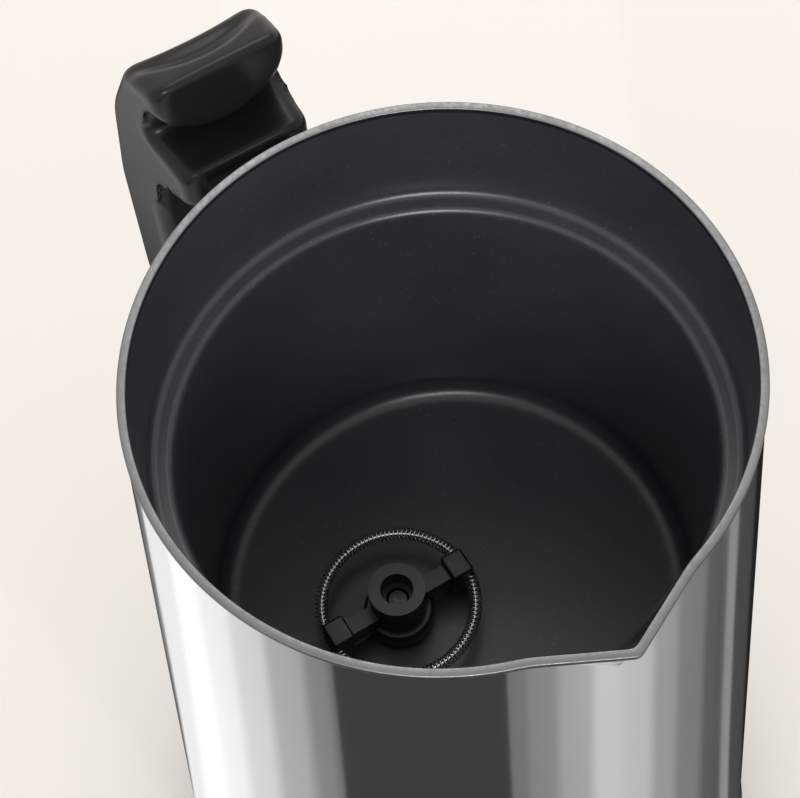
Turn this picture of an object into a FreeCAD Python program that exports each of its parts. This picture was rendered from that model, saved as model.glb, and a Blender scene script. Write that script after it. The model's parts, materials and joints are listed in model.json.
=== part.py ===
import FreeCAD, Part
import math
import os
from FreeCAD import Vector

# Electric milk frother: a double-walled steel jug with a handle and a pouring
# lip, which stands on a low power base.  Millimetres, +Z up.  The origin is on
# the jug's axis, on the surface that the base stands on.  The pouring lip
# points to +X, the handle to -X and the button to -Y.

# ---- jug: shell and pot -------------------------------------------------
rim_height = 206.0          # table to the top of the pot's lip
rim_radius = 48.0           # outside of the lip
shell_flare = 0.06          # growth of the shell's radius per mm downwards
lip_height = 1.0
lip_overhang = 0.35         # lip beyond the shell
shell_wall = 0.5
pot_wall = 0.5
pot_gap = 0.05              # between pot and shell under the lip
ledge_depth = 23.7          # lid ledge below the rim
ledge_width = 4.0
ledge_root_fillet = 1.5
ledge_edge_fillet = 1.3
pot_depth = 84.2
pot_draft = 0.4             # the pot narrows by this from ledge to floor
floor_fillet = 3.5
floor_thickness = 1.0
spout_reach = 5.0           # tip of the pouring lip beyond the rim
spout_half_angle = 17.0     # degrees about the axis at which the lip leaves the circle
spout_depth = 13.0          # where the keel runs out on the shell
spout_tip_radius = 1.6

# ---- power base -----------------------------------------------------------
foot_height = 2.0
foot_radius = 6.0
foot_recess = 0.8
foot_chamfer = 0.6
foot_margin = 3.0           # feet inside the housing's wall
base_height = 12.7          # housing above the feet
base_margin = 1.0           # housing beyond the shell's foot
base_wall = 2.2
base_edge_fillet = 2.5
base_plate_thickness = 2.0
base_screw_sink = 1.2
base_screw_reach = 4.5
jug_gap = 0.5               # jug bottom above the base's deck

# ---- cordless connector ----------------------------------------------------
tower_radius = 11.0
tower_height = 9.0          # above the deck
tower_flange_radius = 16.0
tower_flange_thickness = 1.6
tower_clearance = 0.6
ring_track_radius = 7.5     # middle of the ring contact
ring_track_width = 2.4
ring_track_depth = 6.0
centre_hole_radius = 3.0
contact_wall = 0.4
pin_radius = 1.4
socket_wall = 5.0
socket_roof = 5.0
socket_headroom = 1.2       # above the tower
turret_wall = 2.0
track_floor = 3.0           # track below the ring contact's working depth
contact_drop = 1.5          # contacts below the tower's top

# ---- bottom cover of the jug -------------------------------------------------
cover_thickness = 2.6
cover_upstand = 9.0
cover_upstand_wall = 2.4
cover_fit = 0.3
seal_wire_radius = 0.9
boss_radius = 4.0
boss_circle_radius = 38.0
screw_radius = 1.5
screw_head_radius = 2.8
bottom_screw_sink = 1.0
bottom_screw_reach = 8.0
seal_groove_depth = 3.0
screw_head_height = 1.8
screw_clearance = 0.1
screw_slot_width = 0.8
screw_slot_depth = 0.8
connector_tail = 3.0        # contacts above the connector's roof
pin_above_deck = 3.0
blade_above_deck = 4.0
tab_radius = 1.0
moulded_edge = 0.8          # rounding of small moulded edges

# ---- chassis, heater and motor ------------------------------------------------
chassis_ring_height = 12.0
chassis_platform_drop = 20.0   # platform's top below the pot's floor
chassis_platform = 3.0
chassis_wall = 2.2
chassis_drop = 2.0          # chassis below the pot
chassis_clearance = 1.5     # around the heater plate
vent_radius = 6.0
vent_circle_radius = 27.0
heater_plate_inner = 28.0
heater_plate_outer = 39.0
heater_plate_thickness = 2.0
heater_tube_radius = 3.0
heater_ring_radius = 33.5
heater_gap_angle = 60.0
heater_terminal_length = 4.5
heater_terminal_radius = 1.2
heater_terminal_overlap = 0.5
cutout_radius = 5.0
cutout_height = 6.0
sensor_radius = 2.5
sensor_height = 7.0
sensor_circle_radius = 20.0
sensor_stub_radius = 1.3
sensor_stub_length = 3.0
spring_wire_radius = 0.4
carrier_radius = 16.0
carrier_height = 7.0
carrier_gap = 1.5           # below the pot
drive_magnet_radius = 4.5
drive_magnet_height = 4.0
drive_magnet_circle = 10.5
drive_magnet_count = 4
shaft_radius = 1.0
shaft_drop = 1.0            # shaft's end below the carrier's top
running_fit = 0.05
motor_radius = 14.0
motor_length = 28.0
motor_can_wall = 1.0
motor_boss_radius = 3.5
motor_magnet_thickness = 3.0
motor_air_gap = 0.6
motor_magnet_gap = 2.0      # half the gap between the field magnets
motor_magnet_margin = 5.0   # field magnets from the motor's ends
armature_margin = 4.0
armature_slot_width = 1.6
armature_slot_depth = 2.5
armature_slots = 5
motor_spigot = 2.0
motor_cap_thickness = 3.0
motor_screw_circle = 8.5

# ---- boards ---------------------------------------------------------------------
board_thickness = 1.6
power_board_length = 58.0
power_board_width = 40.0
power_board_drop = 8.0      # below the motor
component_margin = 3.0
capacitor_margin = 7.0
capacitor_pitch = 12.0
relay_size = (19.0, 15.0, 15.0)
capacitor_radius = 5.0
capacitor_height = 14.0
transformer_size = (18.0, 16.0, 14.0)

# ---- button -----------------------------------------------------------------------
button_height = 50.0        # button's axis above the table
button_radius = 8.0
button_travel = 1.2
button_stand = 1.6          # cap's face beyond the bezel's seat
button_cap_length = 6.0
button_gap = 0.3
button_cap_wall = 1.4
button_skirt_overlap = 1.0
button_dome_radius = 32.0
light_ring_drop = 0.2       # ring behind the bezel's face
light_ring_width = 1.6
bezel_width = 1.8
bezel_stand = 1.0           # bezel's face beyond the shell
bezel_length = 9.0
bezel_rear_wall = 1.5
stem_radius = 2.2
switch_size = 6.2
switch_height = 3.5
plunger_radius = 1.6
plunger_length = 0.8
control_board_width = 26.0
control_board_height = 30.0

# ---- whisk --------------------------------------------------------------------------
whisk_x = -1.6              # axis of the whisk and its motor, off the jug's axis
whisk_y = -10.6
whisk_pin_radius = 2.0
whisk_pin_height = 8.4
whisk_pin_chamfer = 0.4
whisk_flange_radius = 3.4
whisk_flange_height = 0.4
whisk_lift = 0.8            # hub above the pot's floor
whisk_hub_radius = 5.0
whisk_hub_height = 12.0
whisk_mouth_radius = 2.9
whisk_mouth_depth = 4.0
whisk_foot_radius = 6.2
whisk_foot_height = 4.2
whisk_magnet_radius = 1.2
whisk_magnet_height = 2.8
whisk_magnet_circle = 4.2
whisk_magnet_floor = 0.3
whisk_ring_radius = 13.6
whisk_ring_height = 6.0     # ring above the pot's floor
coil_radius = 1.2
coil_wall = 0.3
core_wire_radius = 0.4
arm_width = 3.0
arm_height = 4.4
arm_block_length = 3.6
arm_block_width = 5.0
arm_block_height = 7.0
arm_block_round = 0.6
arm_block_reach = 0.6       # blocks beyond the coil's middle
arm_overlap = 0.5

# ---- handle ---------------------------------------------------------------------------
handle_half_width = 11.7
handle_edge_fillet = 3.2
handle_wall = 2.4
handle_crease = 21.2        # inner edge of the thumb rest beyond the rim
handle_back = 30.5          # outer edge of the thumb rest beyond the rim
handle_reach = 47.5         # back of the grip beyond the rim
handle_top_drop = 4.2       # thumb rest below the rim
handle_ear_reach = 15.5     # upper end of the handle beyond the rim
handle_ear_top = 22.0       # below the rim
handle_ear_bottom = 31.5
grip_thickness = 16.0
grip_top = 46.0             # below the rim
grip_bottom = 98.0
handle_foot_top = 126.0
handle_foot_bottom = 146.0
handle_foot_gap = 0.4
thumb_split = 24.0          # thumb rest's seam below the rim
thumb_scoop_radius = 19.0
thumb_scoop_depth = 3.2
seam_gap = 0.1
cover_strip_half_width = 7.5
cover_strip_thickness = 2.4
bracket_half_width = 8.0
bracket_top = 24.6
bracket_bottom = 30.4
bracket_inset = 9.0         # into the handle
foot_bracket_height = 9.0
shell_seat = 0.05           # brackets off the shell

thumb_fall = 0.8            # thumb rest's outer edge below its inner edge
neck_lean = 4.8             # seam under the thumb rest outside the crease
neck_seam_drop = 1.0
neck_root_share = 0.85      # of the grip's thickness, outside the ear
grip_blend = 6.0            # straight ends of the grip's inner side
heel_share = 1.7            # of the grip's thickness, where the grip turns to the foot
heel_rise = 4.0
instep_share = 0.9
instep_rise = 2.0
back_rounding = 90.0
heel_rounding = 50.0
sole_rounding = 18.0
instep_rounding = 10.0
grip_low_rounding = 30.0
grip_high_rounding = 18.0
neck_rounding = 12.0
neck_seam_rounding = 4.5
bracket_socket_gap = 0.2

# ---- cord gland --------------------------------------------------------------------------
gland_radius = 4.2
gland_bore = 2.6
gland_step = 0.8
gland_length = 9.0
gland_tip_wall = 0.6
gland_flange = 1.6
gland_overlap = 2.0

# ---- levels worked out from the sizes above ---------------------------------------------
rim_z = rim_height
deck_z = foot_height + base_height
cover_z = deck_z + jug_gap
shell_bottom_z = cover_z + cover_thickness
shell_top_z = rim_z - lip_height
shell_top_radius = rim_radius - lip_overhang
floor_z = rim_z - pot_depth
under_pot_z = floor_z - floor_thickness
pot_upper_radius = shell_top_radius - shell_wall - pot_gap - pot_wall
pot_lower_radius = pot_upper_radius - ledge_width
platform_z = under_pot_z - chassis_platform_drop
motor_top_z = platform_z - chassis_platform
motor_bottom_z = motor_top_z - motor_length
power_board_z = motor_bottom_z - motor_cap_thickness - power_board_drop
carrier_top_z = under_pot_z - carrier_gap
UP = Vector(0, 0, 1)
FORWARD = Vector(0, 1, 0)
OUTWARD = Vector(-1, 0, 0)


def shell_radius(z, inset=0.0):
    """Outside radius of the shell at a height, less an inset."""
    return shell_top_radius + shell_flare * (rim_z - z) - inset


def cylinder(radius, z_low, z_high, x=0.0, y=0.0):
    """Upright cylinder between two heights."""
    return Part.makeCylinder(radius, z_high - z_low, Vector(x, y, z_low), UP)


def tube(outer, inner, z_low, z_high, x=0.0, y=0.0):
    """Upright tube between two heights."""
    return cylinder(outer, z_low, z_high, x, y).cut(cylinder(inner, z_low, z_high, x, y))


def rod(radius, start, direction, length):
    """Cylinder from a point along a direction."""
    return Part.makeCylinder(radius, length, start, direction)


def block(x_low, x_high, y_low, y_high, z_low, z_high):
    """Box between two corners."""
    return Part.makeBox(x_high - x_low, y_high - y_low, z_high - z_low, Vector(x_low, y_low, z_low))


def fused(shapes):
    """One solid from several."""
    return shapes[0].multiFuse(shapes[1:]).removeSplitter()


def flared(z_low, z_high, inset=0.0):
    """Solid cone that follows the shell between two heights."""
    height = z_high - z_low
    return Part.makeCone(shell_radius(z_low, inset), shell_radius(z_high, inset), height, Vector(0, 0, z_low), UP)


def rounded_outline(corners):
    """Closed wire in the XZ plane through (x, z, radius) corners, rounded by tangent arcs."""
    points = [Vector(x, 0, z) for x, z, radius in corners]
    count = len(points)
    arcs = []
    for index, (x, z, radius) in enumerate(corners):
        here = points[index]
        back = points[index - 1] - here
        ahead = points[(index + 1) % count] - here
        half_angle = back.getAngle(ahead) / 2
        reach = radius / math.tan(half_angle)
        limit = 0.48 * min(back.Length, ahead.Length)
        if reach > limit:
            reach = limit
        used = reach * math.tan(half_angle)
        back.normalize()
        ahead.normalize()
        middle_way = back + ahead
        middle_way.normalize()
        centre = here + middle_way * (used / math.sin(half_angle))
        arcs.append((here + back * reach, centre - middle_way * used, here + ahead * reach))
    edges = []
    for index, (start, middle, end) in enumerate(arcs):
        if (end - start).Length > 1e-6:
            edges.append(Part.Arc(start, middle, end).toShape())
        edges.append(Part.LineSegment(end, arcs[(index + 1) % count][0]).toShape())
    return Part.Wire(edges)


def turned(corners):
    """Solid of revolution about Z from (radius, z, rounding) corners."""
    return Part.Face(rounded_outline(corners)).revolve(Vector(0, 0, 0), UP, 360)


def plate_in_xz(corners, half_width):
    """Outline in the XZ plane given a thickness across Y."""
    face = Part.Face(rounded_outline(corners))
    face.translate(Vector(0, -half_width, 0))
    return face.extrude(Vector(0, 2 * half_width, 0))


def spring_sleeve(mean_radius, wire_radius, length):
    """Outer shape of a coil spring that stands on z = 0, as a thin sleeve."""
    return tube(mean_radius + wire_radius, mean_radius - wire_radius, 0, length)


def around(solid, count, first_angle=0.0):
    """Copies of a solid spaced evenly about Z."""
    copies = []
    for index in range(count):
        copy = solid.copy()
        copy.rotate(Vector(0, 0, 0), UP, first_angle + index * 360.0 / count)
        copies.append(copy)
    return copies


def edges_above(shape, z):
    """Edges that lie wholly above a height."""
    return [edge for edge in shape.Edges if edge.BoundBox.ZMin > z]


def edges_below(shape, z):
    """Edges that lie wholly below a height."""
    return [edge for edge in shape.Edges if edge.BoundBox.ZMax < z]


def save(name, shape):
    """Write one node as a STEP file."""
    shape.exportStep("parts/" + name + ".step")


# ---- jug: shell, pot and pouring lip ---------------------------------------------------

def spout_outline(inset):
    """Plan of the pouring lip at the rim: a V with a rounded tip that starts from the axis."""
    half = math.radians(spout_half_angle)
    root_radius = rim_radius - inset
    root_x = root_radius * math.cos(half)
    root_y = root_radius * math.sin(half)
    tip_x = rim_radius + spout_reach - inset / math.sin(spout_wall_angle())
    tip = Vector(tip_x, 0, rim_z)
    left = Vector(root_x, root_y, rim_z)
    right = Vector(root_x, -root_y, rim_z)
    side = left - tip
    half_tip = math.atan2(root_y, tip_x - root_x)
    reach = spout_tip_radius / math.tan(half_tip)
    side.normalize()
    start = tip + side * reach
    end = Vector(start.x, -start.y, rim_z)
    nose = Vector(tip_x - spout_tip_radius / math.sin(half_tip) + spout_tip_radius, 0, rim_z)
    axis_point = Vector(0, 0, rim_z)
    edges = [Part.LineSegment(axis_point, left).toShape()]
    edges.append(Part.LineSegment(left, start).toShape())
    edges.append(Part.Arc(start, nose, end).toShape())
    edges.append(Part.LineSegment(end, right).toShape())
    edges.append(Part.LineSegment(right, axis_point).toShape())
    return Part.Wire(edges)


def spout_wall_angle():
    """Angle between the lip's sides and the spout's middle plane."""
    half = math.radians(spout_half_angle)
    return math.atan2(rim_radius * math.sin(half), rim_radius + spout_reach - rim_radius * math.cos(half))


def spout_wedge(inset):
    """Pouring lip: the plan drawn down to a point where its keel meets the shell."""
    keel_z = rim_z - spout_depth
    keel = Part.Vertex(Vector(shell_radius(keel_z, inset), 0, keel_z))
    return Part.makeLoft([spout_outline(inset), keel], True, True)


def make_shell():
    """Flared steel shell with the pouring lip, a window for the button and screw holes."""
    whole = flared(shell_bottom_z, rim_z).fuse(spout_wedge(lip_overhang))
    inner = flared(shell_bottom_z, rim_z, shell_wall).fuse(spout_wedge(lip_overhang + shell_wall))
    shell = whole.cut(inner).cut(cylinder(2 * rim_radius, shell_top_z, rim_z + 1))
    window = rod(bezel_radius(), Vector(0, -2 * rim_radius, button_height), FORWARD, 2 * rim_radius)
    holes = [rod(screw_radius + screw_clearance, Vector(-2 * rim_radius, y, z), Vector(1, 0, 0), 2 * rim_radius)
             for y, z in handle_screw_places()]
    return shell.cut(window).cut(Part.Compound(holes))


def pot_body(inset, top_radius, low_z):
    """Filled pot down to a height; inset 0 gives the outside and the pot's wall gives the inside."""
    wall_share = inset / pot_wall
    ledge_z = rim_z - ledge_depth - pot_wall * (1 - wall_share)
    lower = pot_lower_radius + pot_wall - inset
    corner = floor_fillet + pot_wall - inset
    root = ledge_root_fillet + pot_wall - inset
    edge = ledge_edge_fillet + inset - pot_wall
    return turned([(0, rim_z, 0), (top_radius, rim_z, 0), (top_radius, ledge_z, root), (lower, ledge_z, edge),
                   (lower - pot_draft, low_z, corner), (0, low_z, 0)])


def make_pot():
    """Non-stick pot: lid ledge, rounded floor, and a lip that turns out over the shell."""
    lip_slab = cylinder(rim_radius, shell_top_z, rim_z)
    lip_nose = Part.Face(spout_outline(0.0)).extrude(Vector(0, 0, -lip_height))
    lip_inset = lip_overhang + shell_wall + pot_gap
    outer = pot_body(0.0, pot_upper_radius + pot_wall, under_pot_z).fuse(spout_wedge(lip_inset))
    outer = outer.fuse(lip_slab).fuse(lip_nose)
    inner = pot_body(pot_wall, pot_upper_radius, floor_z).fuse(spout_wedge(lip_inset + pot_wall))
    return outer.cut(inner)


# ---- handle ----------------------------------------------------------------------------------

def handle_corners():
    """Side outline of the whole handle as (x, z, rounding)."""
    crease_x = -(rim_radius + handle_crease)
    back_x = -(rim_radius + handle_back)
    reach_x = -(rim_radius + handle_reach)
    ear_x = -(rim_radius + handle_ear_reach)
    grip_x = reach_x + grip_thickness
    top_z = rim_z - handle_top_drop
    foot_x = -shell_radius(rim_z - handle_foot_bottom) + 2 * handle_wall
    return [
        (crease_x, top_z, 0),
        (back_x, top_z - thumb_fall, handle_edge_fillet + moulded_edge),
        (reach_x, rim_z - grip_top, back_rounding),
        (reach_x, rim_z - grip_bottom, heel_rounding),
        (reach_x + heel_share * grip_thickness, rim_z - handle_foot_bottom + heel_rise, sole_rounding),
        (foot_x, rim_z - handle_foot_bottom, 0),
        (foot_x, rim_z - handle_foot_top, 0),
        (grip_x + instep_share * grip_thickness, rim_z - handle_foot_top + instep_rise, instep_rounding),
        (grip_x, rim_z - grip_bottom + grip_blend, grip_low_rounding),
        (grip_x, rim_z - grip_top - grip_blend, grip_high_rounding),
        (ear_x - neck_root_share * grip_thickness, rim_z - handle_ear_bottom - grip_blend, neck_rounding),
        (ear_x, rim_z - handle_ear_bottom, 0),
        (ear_x, rim_z - handle_ear_top, 0),
        (crease_x - neck_lean, rim_z - thumb_split - neck_seam_drop, neck_seam_rounding),
    ]


def handle_body():
    """Whole handle as one rounded solid, clear of the shell."""
    solid = plate_in_xz(handle_corners(), handle_half_width)
    rails = [edge for edge in solid.Edges if edge.BoundBox.YLength < 1e-6]
    solid = solid.makeFillet(handle_edge_fillet, rails)
    clear_of_shell = flared(shell_bottom_z, rim_z, -handle_foot_gap)
    return solid.cut(clear_of_shell)


def handle_hollow():
    """Space inside the grip, from the ear to the foot."""
    face = Part.Face(rounded_outline(handle_corners())).makeOffset2D(-handle_wall)
    face.translate(Vector(0, -(handle_half_width - handle_wall), 0))
    return face.extrude(Vector(0, 2 * (handle_half_width - handle_wall), 0))


def thumb_region(gap):
    """Everything above the seam under the thumb rest, less a gap."""
    low = rim_z - thumb_split + gap
    inner_x = -(rim_radius + handle_crease) + moulded_edge
    outer_x = -(rim_radius + handle_reach) - handle_wall
    return block(outer_x, inner_x, -rim_radius, rim_radius, low, rim_z + handle_wall)


def thumb_scoop():
    """Hollow for the thumb across the top of the handle."""
    x = -(rim_radius + handle_back)
    z = rim_z - handle_top_drop - thumb_scoop_depth + thumb_scoop_radius
    return Part.makeSphere(thumb_scoop_radius, Vector(x, 0, z))


def inner_strip(half_width, thickness):
    """Strip that follows the grip's inner side."""
    grip_x = -(rim_radius + handle_reach) + grip_thickness
    top = rim_z - grip_top - grip_blend
    bottom = rim_z - grip_bottom + grip_blend
    return block(grip_x - thickness, grip_x + thickness, -half_width, half_width, bottom, top)


def bracket_bars():
    """Upper and lower bars that carry the handle, before they are shaped to the shell."""
    upper_end = -(rim_radius + handle_ear_reach + bracket_inset)
    lower_end = -(shell_radius(rim_z - handle_foot_bottom) + bracket_inset)
    foot_middle = rim_z - (handle_foot_top + handle_foot_bottom) / 2
    upper = block(upper_end, 0, -bracket_half_width, bracket_half_width, rim_z - bracket_bottom, rim_z - bracket_top)
    lower = block(lower_end, 0, -bracket_half_width, bracket_half_width,
                  foot_middle - foot_bracket_height / 2, foot_middle + foot_bracket_height / 2)
    return upper, lower


def handle_screw_places():
    """(y, z) of the screws that hold the brackets to the shell."""
    upper_z = rim_z - (bracket_top + bracket_bottom) / 2
    lower_z = rim_z - (handle_foot_top + handle_foot_bottom) / 2
    offset = bracket_half_width / 2
    return [(-offset, upper_z), (offset, upper_z), (-offset, lower_z), (offset, lower_z)]


def make_handle():
    """Handle pieces: shell, thumb rest, inner cover, brackets and screws."""
    body = handle_body()
    upper, lower = bracket_bars()
    shell_cone = flared(shell_bottom_z, rim_z, -shell_seat)
    screws = []
    drills = []
    for y, z in handle_screw_places():
        bore_radius = shell_radius(z + screw_head_radius, shell_wall)
        seat = math.sqrt(bore_radius ** 2 - (abs(y) + screw_head_radius) ** 2)
        head_start = screw_head_height - seat + running_fit
        length = shell_wall + bracket_inset
        head = rod(screw_head_radius, Vector(head_start, y, z), OUTWARD, screw_head_height)
        shank = rod(screw_radius, Vector(head_start, y, z), OUTWARD, screw_head_height + length)
        screws.append(fused([head, shank]).cut(screw_slot(head_start, y, z)))
        drills.append(rod(screw_radius + running_fit, Vector(head_start, y, z), OUTWARD, 2 * length))
    drill = Part.Compound(drills)
    thumb = body.common(thumb_region(seam_gap)).cut(thumb_scoop())
    below = body.cut(thumb_region(0.0))
    pockets = [grown(bar, bracket_socket_gap) for bar in (upper, lower)]
    strip = inner_strip(cover_strip_half_width, cover_strip_thickness)
    hollow = handle_hollow().cut(thumb_region(-handle_wall))
    shell_part = below.cut(hollow).cut(Part.Compound(pockets))
    shell_part = shell_part.cut(inner_strip(cover_strip_half_width + seam_gap, cover_strip_thickness + seam_gap))
    cover = body.common(strip)
    save("handle_shell", biggest(shell_part))
    save("thumb_rest", thumb)
    save("handle_inner_cover", cover)
    save("handle_upper_bracket", upper.cut(shell_cone).cut(drill))
    save("handle_lower_bracket", lower.cut(shell_cone).cut(drill))
    save("handle_screws", Part.Compound(screws))


def screw_slot(x, y, z):
    """Driver slot across a screw head."""
    half = screw_slot_width / 2
    return block(x - screw_slot_depth, x + screw_slot_depth, y - screw_head_radius, y + screw_head_radius,
                 z - half, z + half)


def grown(box, gap):
    """Box made larger on every side."""
    bounds = box.BoundBox
    return block(bounds.XMin - gap, bounds.XMax + gap, bounds.YMin - gap, bounds.YMax + gap,
                 bounds.ZMin - gap, bounds.ZMax + gap)


def biggest(shape):
    """Largest solid of a shape."""
    return max(shape.Solids, key=lambda solid: solid.Volume)


# ---- button -----------------------------------------------------------------------------------

def bezel_radius():
    """Outside radius of the bezel's barrel."""
    return button_radius + button_gap + light_ring_width + bezel_width


def button_face_y():
    """Y of the shell's surface at the button's axis."""
    return -shell_radius(button_height)


def barrel(outer, inner, y_low, y_high):
    """Tube along Y about the button's axis."""
    length = y_high - y_low
    start = Vector(0, y_low, button_height)
    solid = rod(outer, start, FORWARD, length)
    if inner > 0:
        solid = solid.cut(rod(inner, start, FORWARD, length))
    return solid


def make_button():
    """Button pieces: bezel, light ring, cap, spring, switch and control board."""
    face = button_face_y()
    flange_out = bezel_radius() + bezel_width
    shell_at_rim = -math.sqrt(face * face - flange_out * flange_out)
    seat = -shell_radius(button_height - flange_out)
    bezel_front = seat - bezel_stand
    light_outer = button_radius + button_gap + light_ring_width
    back = bezel_front + bezel_length
    cone = flared(shell_bottom_z, rim_z, -shell_seat)
    flange = barrel(flange_out, light_outer, bezel_front, shell_at_rim + bezel_width).cut(cone)
    sleeve = barrel(bezel_radius() - seam_gap, light_outer, bezel_front, back)
    rear = barrel(bezel_radius() - seam_gap, stem_radius + button_gap, back - bezel_rear_wall, back)
    bezel = fused([flange, sleeve, rear])
    ring_back = bezel_front + button_cap_length / 2
    ring = barrel(light_outer - running_fit, button_radius + button_gap, bezel_front + light_ring_drop, ring_back)
    cap_front = bezel_front - button_stand
    cap_back = cap_front + button_cap_length / 2
    cap_bore = button_radius - button_cap_wall
    head = barrel(button_radius, 0, cap_front, cap_back)
    dome = Part.makeSphere(button_dome_radius, Vector(0, cap_front + button_dome_radius, button_height))
    skirt = barrel(button_radius, cap_bore, cap_back, ring_back + button_skirt_overlap)
    switch_front = back + button_travel
    stem = barrel(stem_radius, 0, cap_back, switch_front - button_travel)
    cap = fused([head.common(dome), skirt, stem])
    spring_start = cap_back
    spring_end = back - bezel_rear_wall
    spring_mean = (stem_radius + cap_bore) / 2
    spring = spring_sleeve(spring_mean, spring_wire_radius, spring_end - spring_start)
    spring.rotate(Vector(0, 0, 0), Vector(1, 0, 0), -90)
    spring.translate(Vector(0, spring_start, button_height))
    board_front = switch_front + switch_height
    half = switch_size / 2
    body_front = switch_front + plunger_length
    switch_body = block(-half, half, body_front, board_front, button_height - half, button_height + half)
    plunger = rod(plunger_radius, Vector(0, switch_front, button_height), FORWARD, switch_height / 2)
    half_board = control_board_width / 2
    board = block(-half_board, half_board, board_front, board_front + board_thickness,
                  button_height - control_board_height / 2, button_height + control_board_height / 2)
    save("button_bezel", bezel)
    save("button_light_ring", ring)
    save("button_cap", cap)
    save("button_spring", spring)
    save("button_switch", fused([switch_body, plunger]))
    save("control_board", board)


# ---- whisk --------------------------------------------------------------------------------------

def on_whisk_axis(shape):
    """Shape moved from the jug's axis to the whisk's axis."""
    return shape.translated(Vector(whisk_x, whisk_y, 0))


def make_whisk():
    """Whisk pieces: hub with two arms, coil, core ring and magnets, and the pin that they turn on."""
    hub_z = floor_z + whisk_lift
    hub_top = hub_z + whisk_hub_height
    ring_z = floor_z + whisk_ring_height
    post = cylinder(whisk_hub_radius, hub_z, hub_top)
    foot = cylinder(whisk_foot_radius, hub_z, hub_z + whisk_foot_height)
    foot = foot.makeFillet(moulded_edge, foot.Edges)
    arms = []
    block_in = whisk_ring_radius - arm_block_length
    block_out = whisk_ring_radius + arm_block_reach
    for side in (-1, 1):
        arm = block(-arm_width / 2, arm_width / 2, 0, block_in + arm_overlap,
                    ring_z - arm_height / 2, ring_z + arm_height / 2)
        end = block(-arm_block_width / 2, arm_block_width / 2, block_in, block_out,
                    ring_z - arm_block_height / 2, ring_z + arm_block_height / 2)
        arm = fused([arm, end.makeFillet(arm_block_round, end.Edges)])
        arm.rotate(Vector(0, 0, 0), UP, 0 if side > 0 else 180)
        arms.append(arm)
    hub = fused([post, foot] + arms)
    bore_top = hub_top - whisk_mouth_depth
    bore = cylinder(whisk_pin_radius + running_fit, hub_z, bore_top)
    mouth = cylinder(whisk_mouth_radius, bore_top, hub_top)
    groove = Part.makeTorus(whisk_ring_radius, coil_radius + running_fit, Vector(0, 0, ring_z))
    magnet_z = hub_z + whisk_magnet_floor
    magnet = cylinder(whisk_magnet_radius, magnet_z, magnet_z + whisk_magnet_height)
    magnets = []
    for side in (-1, 1):
        copy = magnet.copy()
        copy.translate(Vector(side * whisk_magnet_circle, 0, 0))
        magnets.append(copy)
    hub = hub.cut(bore).cut(mouth).cut(groove).cut(Part.Compound(magnets))
    coil = Part.makeTorus(whisk_ring_radius, coil_radius, Vector(0, 0, ring_z))
    coil = coil.cut(Part.makeTorus(whisk_ring_radius, coil_radius - coil_wall, Vector(0, 0, ring_z)))
    core = Part.makeTorus(whisk_ring_radius, core_wire_radius, Vector(0, 0, ring_z))
    pin = cylinder(whisk_pin_radius, floor_z, floor_z + whisk_pin_height)
    pin = pin.makeChamfer(whisk_pin_chamfer, edges_above(pin, floor_z + whisk_pin_chamfer))
    flange = cylinder(whisk_flange_radius, floor_z, floor_z + whisk_flange_height)
    save("whisk_hub", on_whisk_axis(hub))
    save("whisk_coil", on_whisk_axis(coil))
    save("whisk_core_ring", on_whisk_axis(core))
    save("whisk_magnets", on_whisk_axis(Part.Compound(magnets)))
    save("whisk_pin", on_whisk_axis(fused([pin, flange])))


# ---- drive: motor, magnets, heater and chassis ------------------------------------------------

def make_rotor():
    """Turning pieces of the drive: shaft, armature, magnet carrier and its magnets."""
    carrier_low = carrier_top_z - carrier_height
    carrier = cylinder(carrier_radius, carrier_low, carrier_top_z)
    carrier = carrier.makeFillet(moulded_edge, carrier.Edges)
    magnet_low = carrier_top_z - drive_magnet_height
    pocket = cylinder(drive_magnet_radius + running_fit, magnet_low, carrier_top_z + 1, drive_magnet_circle, 0)
    magnet = cylinder(drive_magnet_radius, magnet_low, carrier_top_z, drive_magnet_circle, 0)
    turn = 180.0 / drive_magnet_count
    shaft_low = motor_bottom_z + motor_can_wall
    shaft_top = carrier_top_z - shaft_drop
    carrier = carrier.cut(Part.Compound(around(pocket, drive_magnet_count, turn)))
    carrier = carrier.cut(cylinder(shaft_radius, carrier_low, shaft_top))
    armature_radius = motor_radius - motor_can_wall - motor_magnet_thickness - motor_air_gap
    armature_low = motor_bottom_z + armature_margin
    armature_high = motor_top_z - armature_margin
    armature = tube(armature_radius, shaft_radius, armature_low, armature_high)
    half_slot = armature_slot_width / 2
    slot = block(armature_radius - armature_slot_depth, motor_radius, -half_slot, half_slot,
                 armature_low, armature_high)
    armature = armature.cut(Part.Compound(around(slot, armature_slots)))
    save("motor_shaft", on_whisk_axis(cylinder(shaft_radius, shaft_low, shaft_top)))
    save("motor_armature", on_whisk_axis(armature))
    save("magnet_carrier", on_whisk_axis(carrier))
    save("drive_magnets", on_whisk_axis(Part.Compound(around(magnet, drive_magnet_count, turn))))


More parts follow.
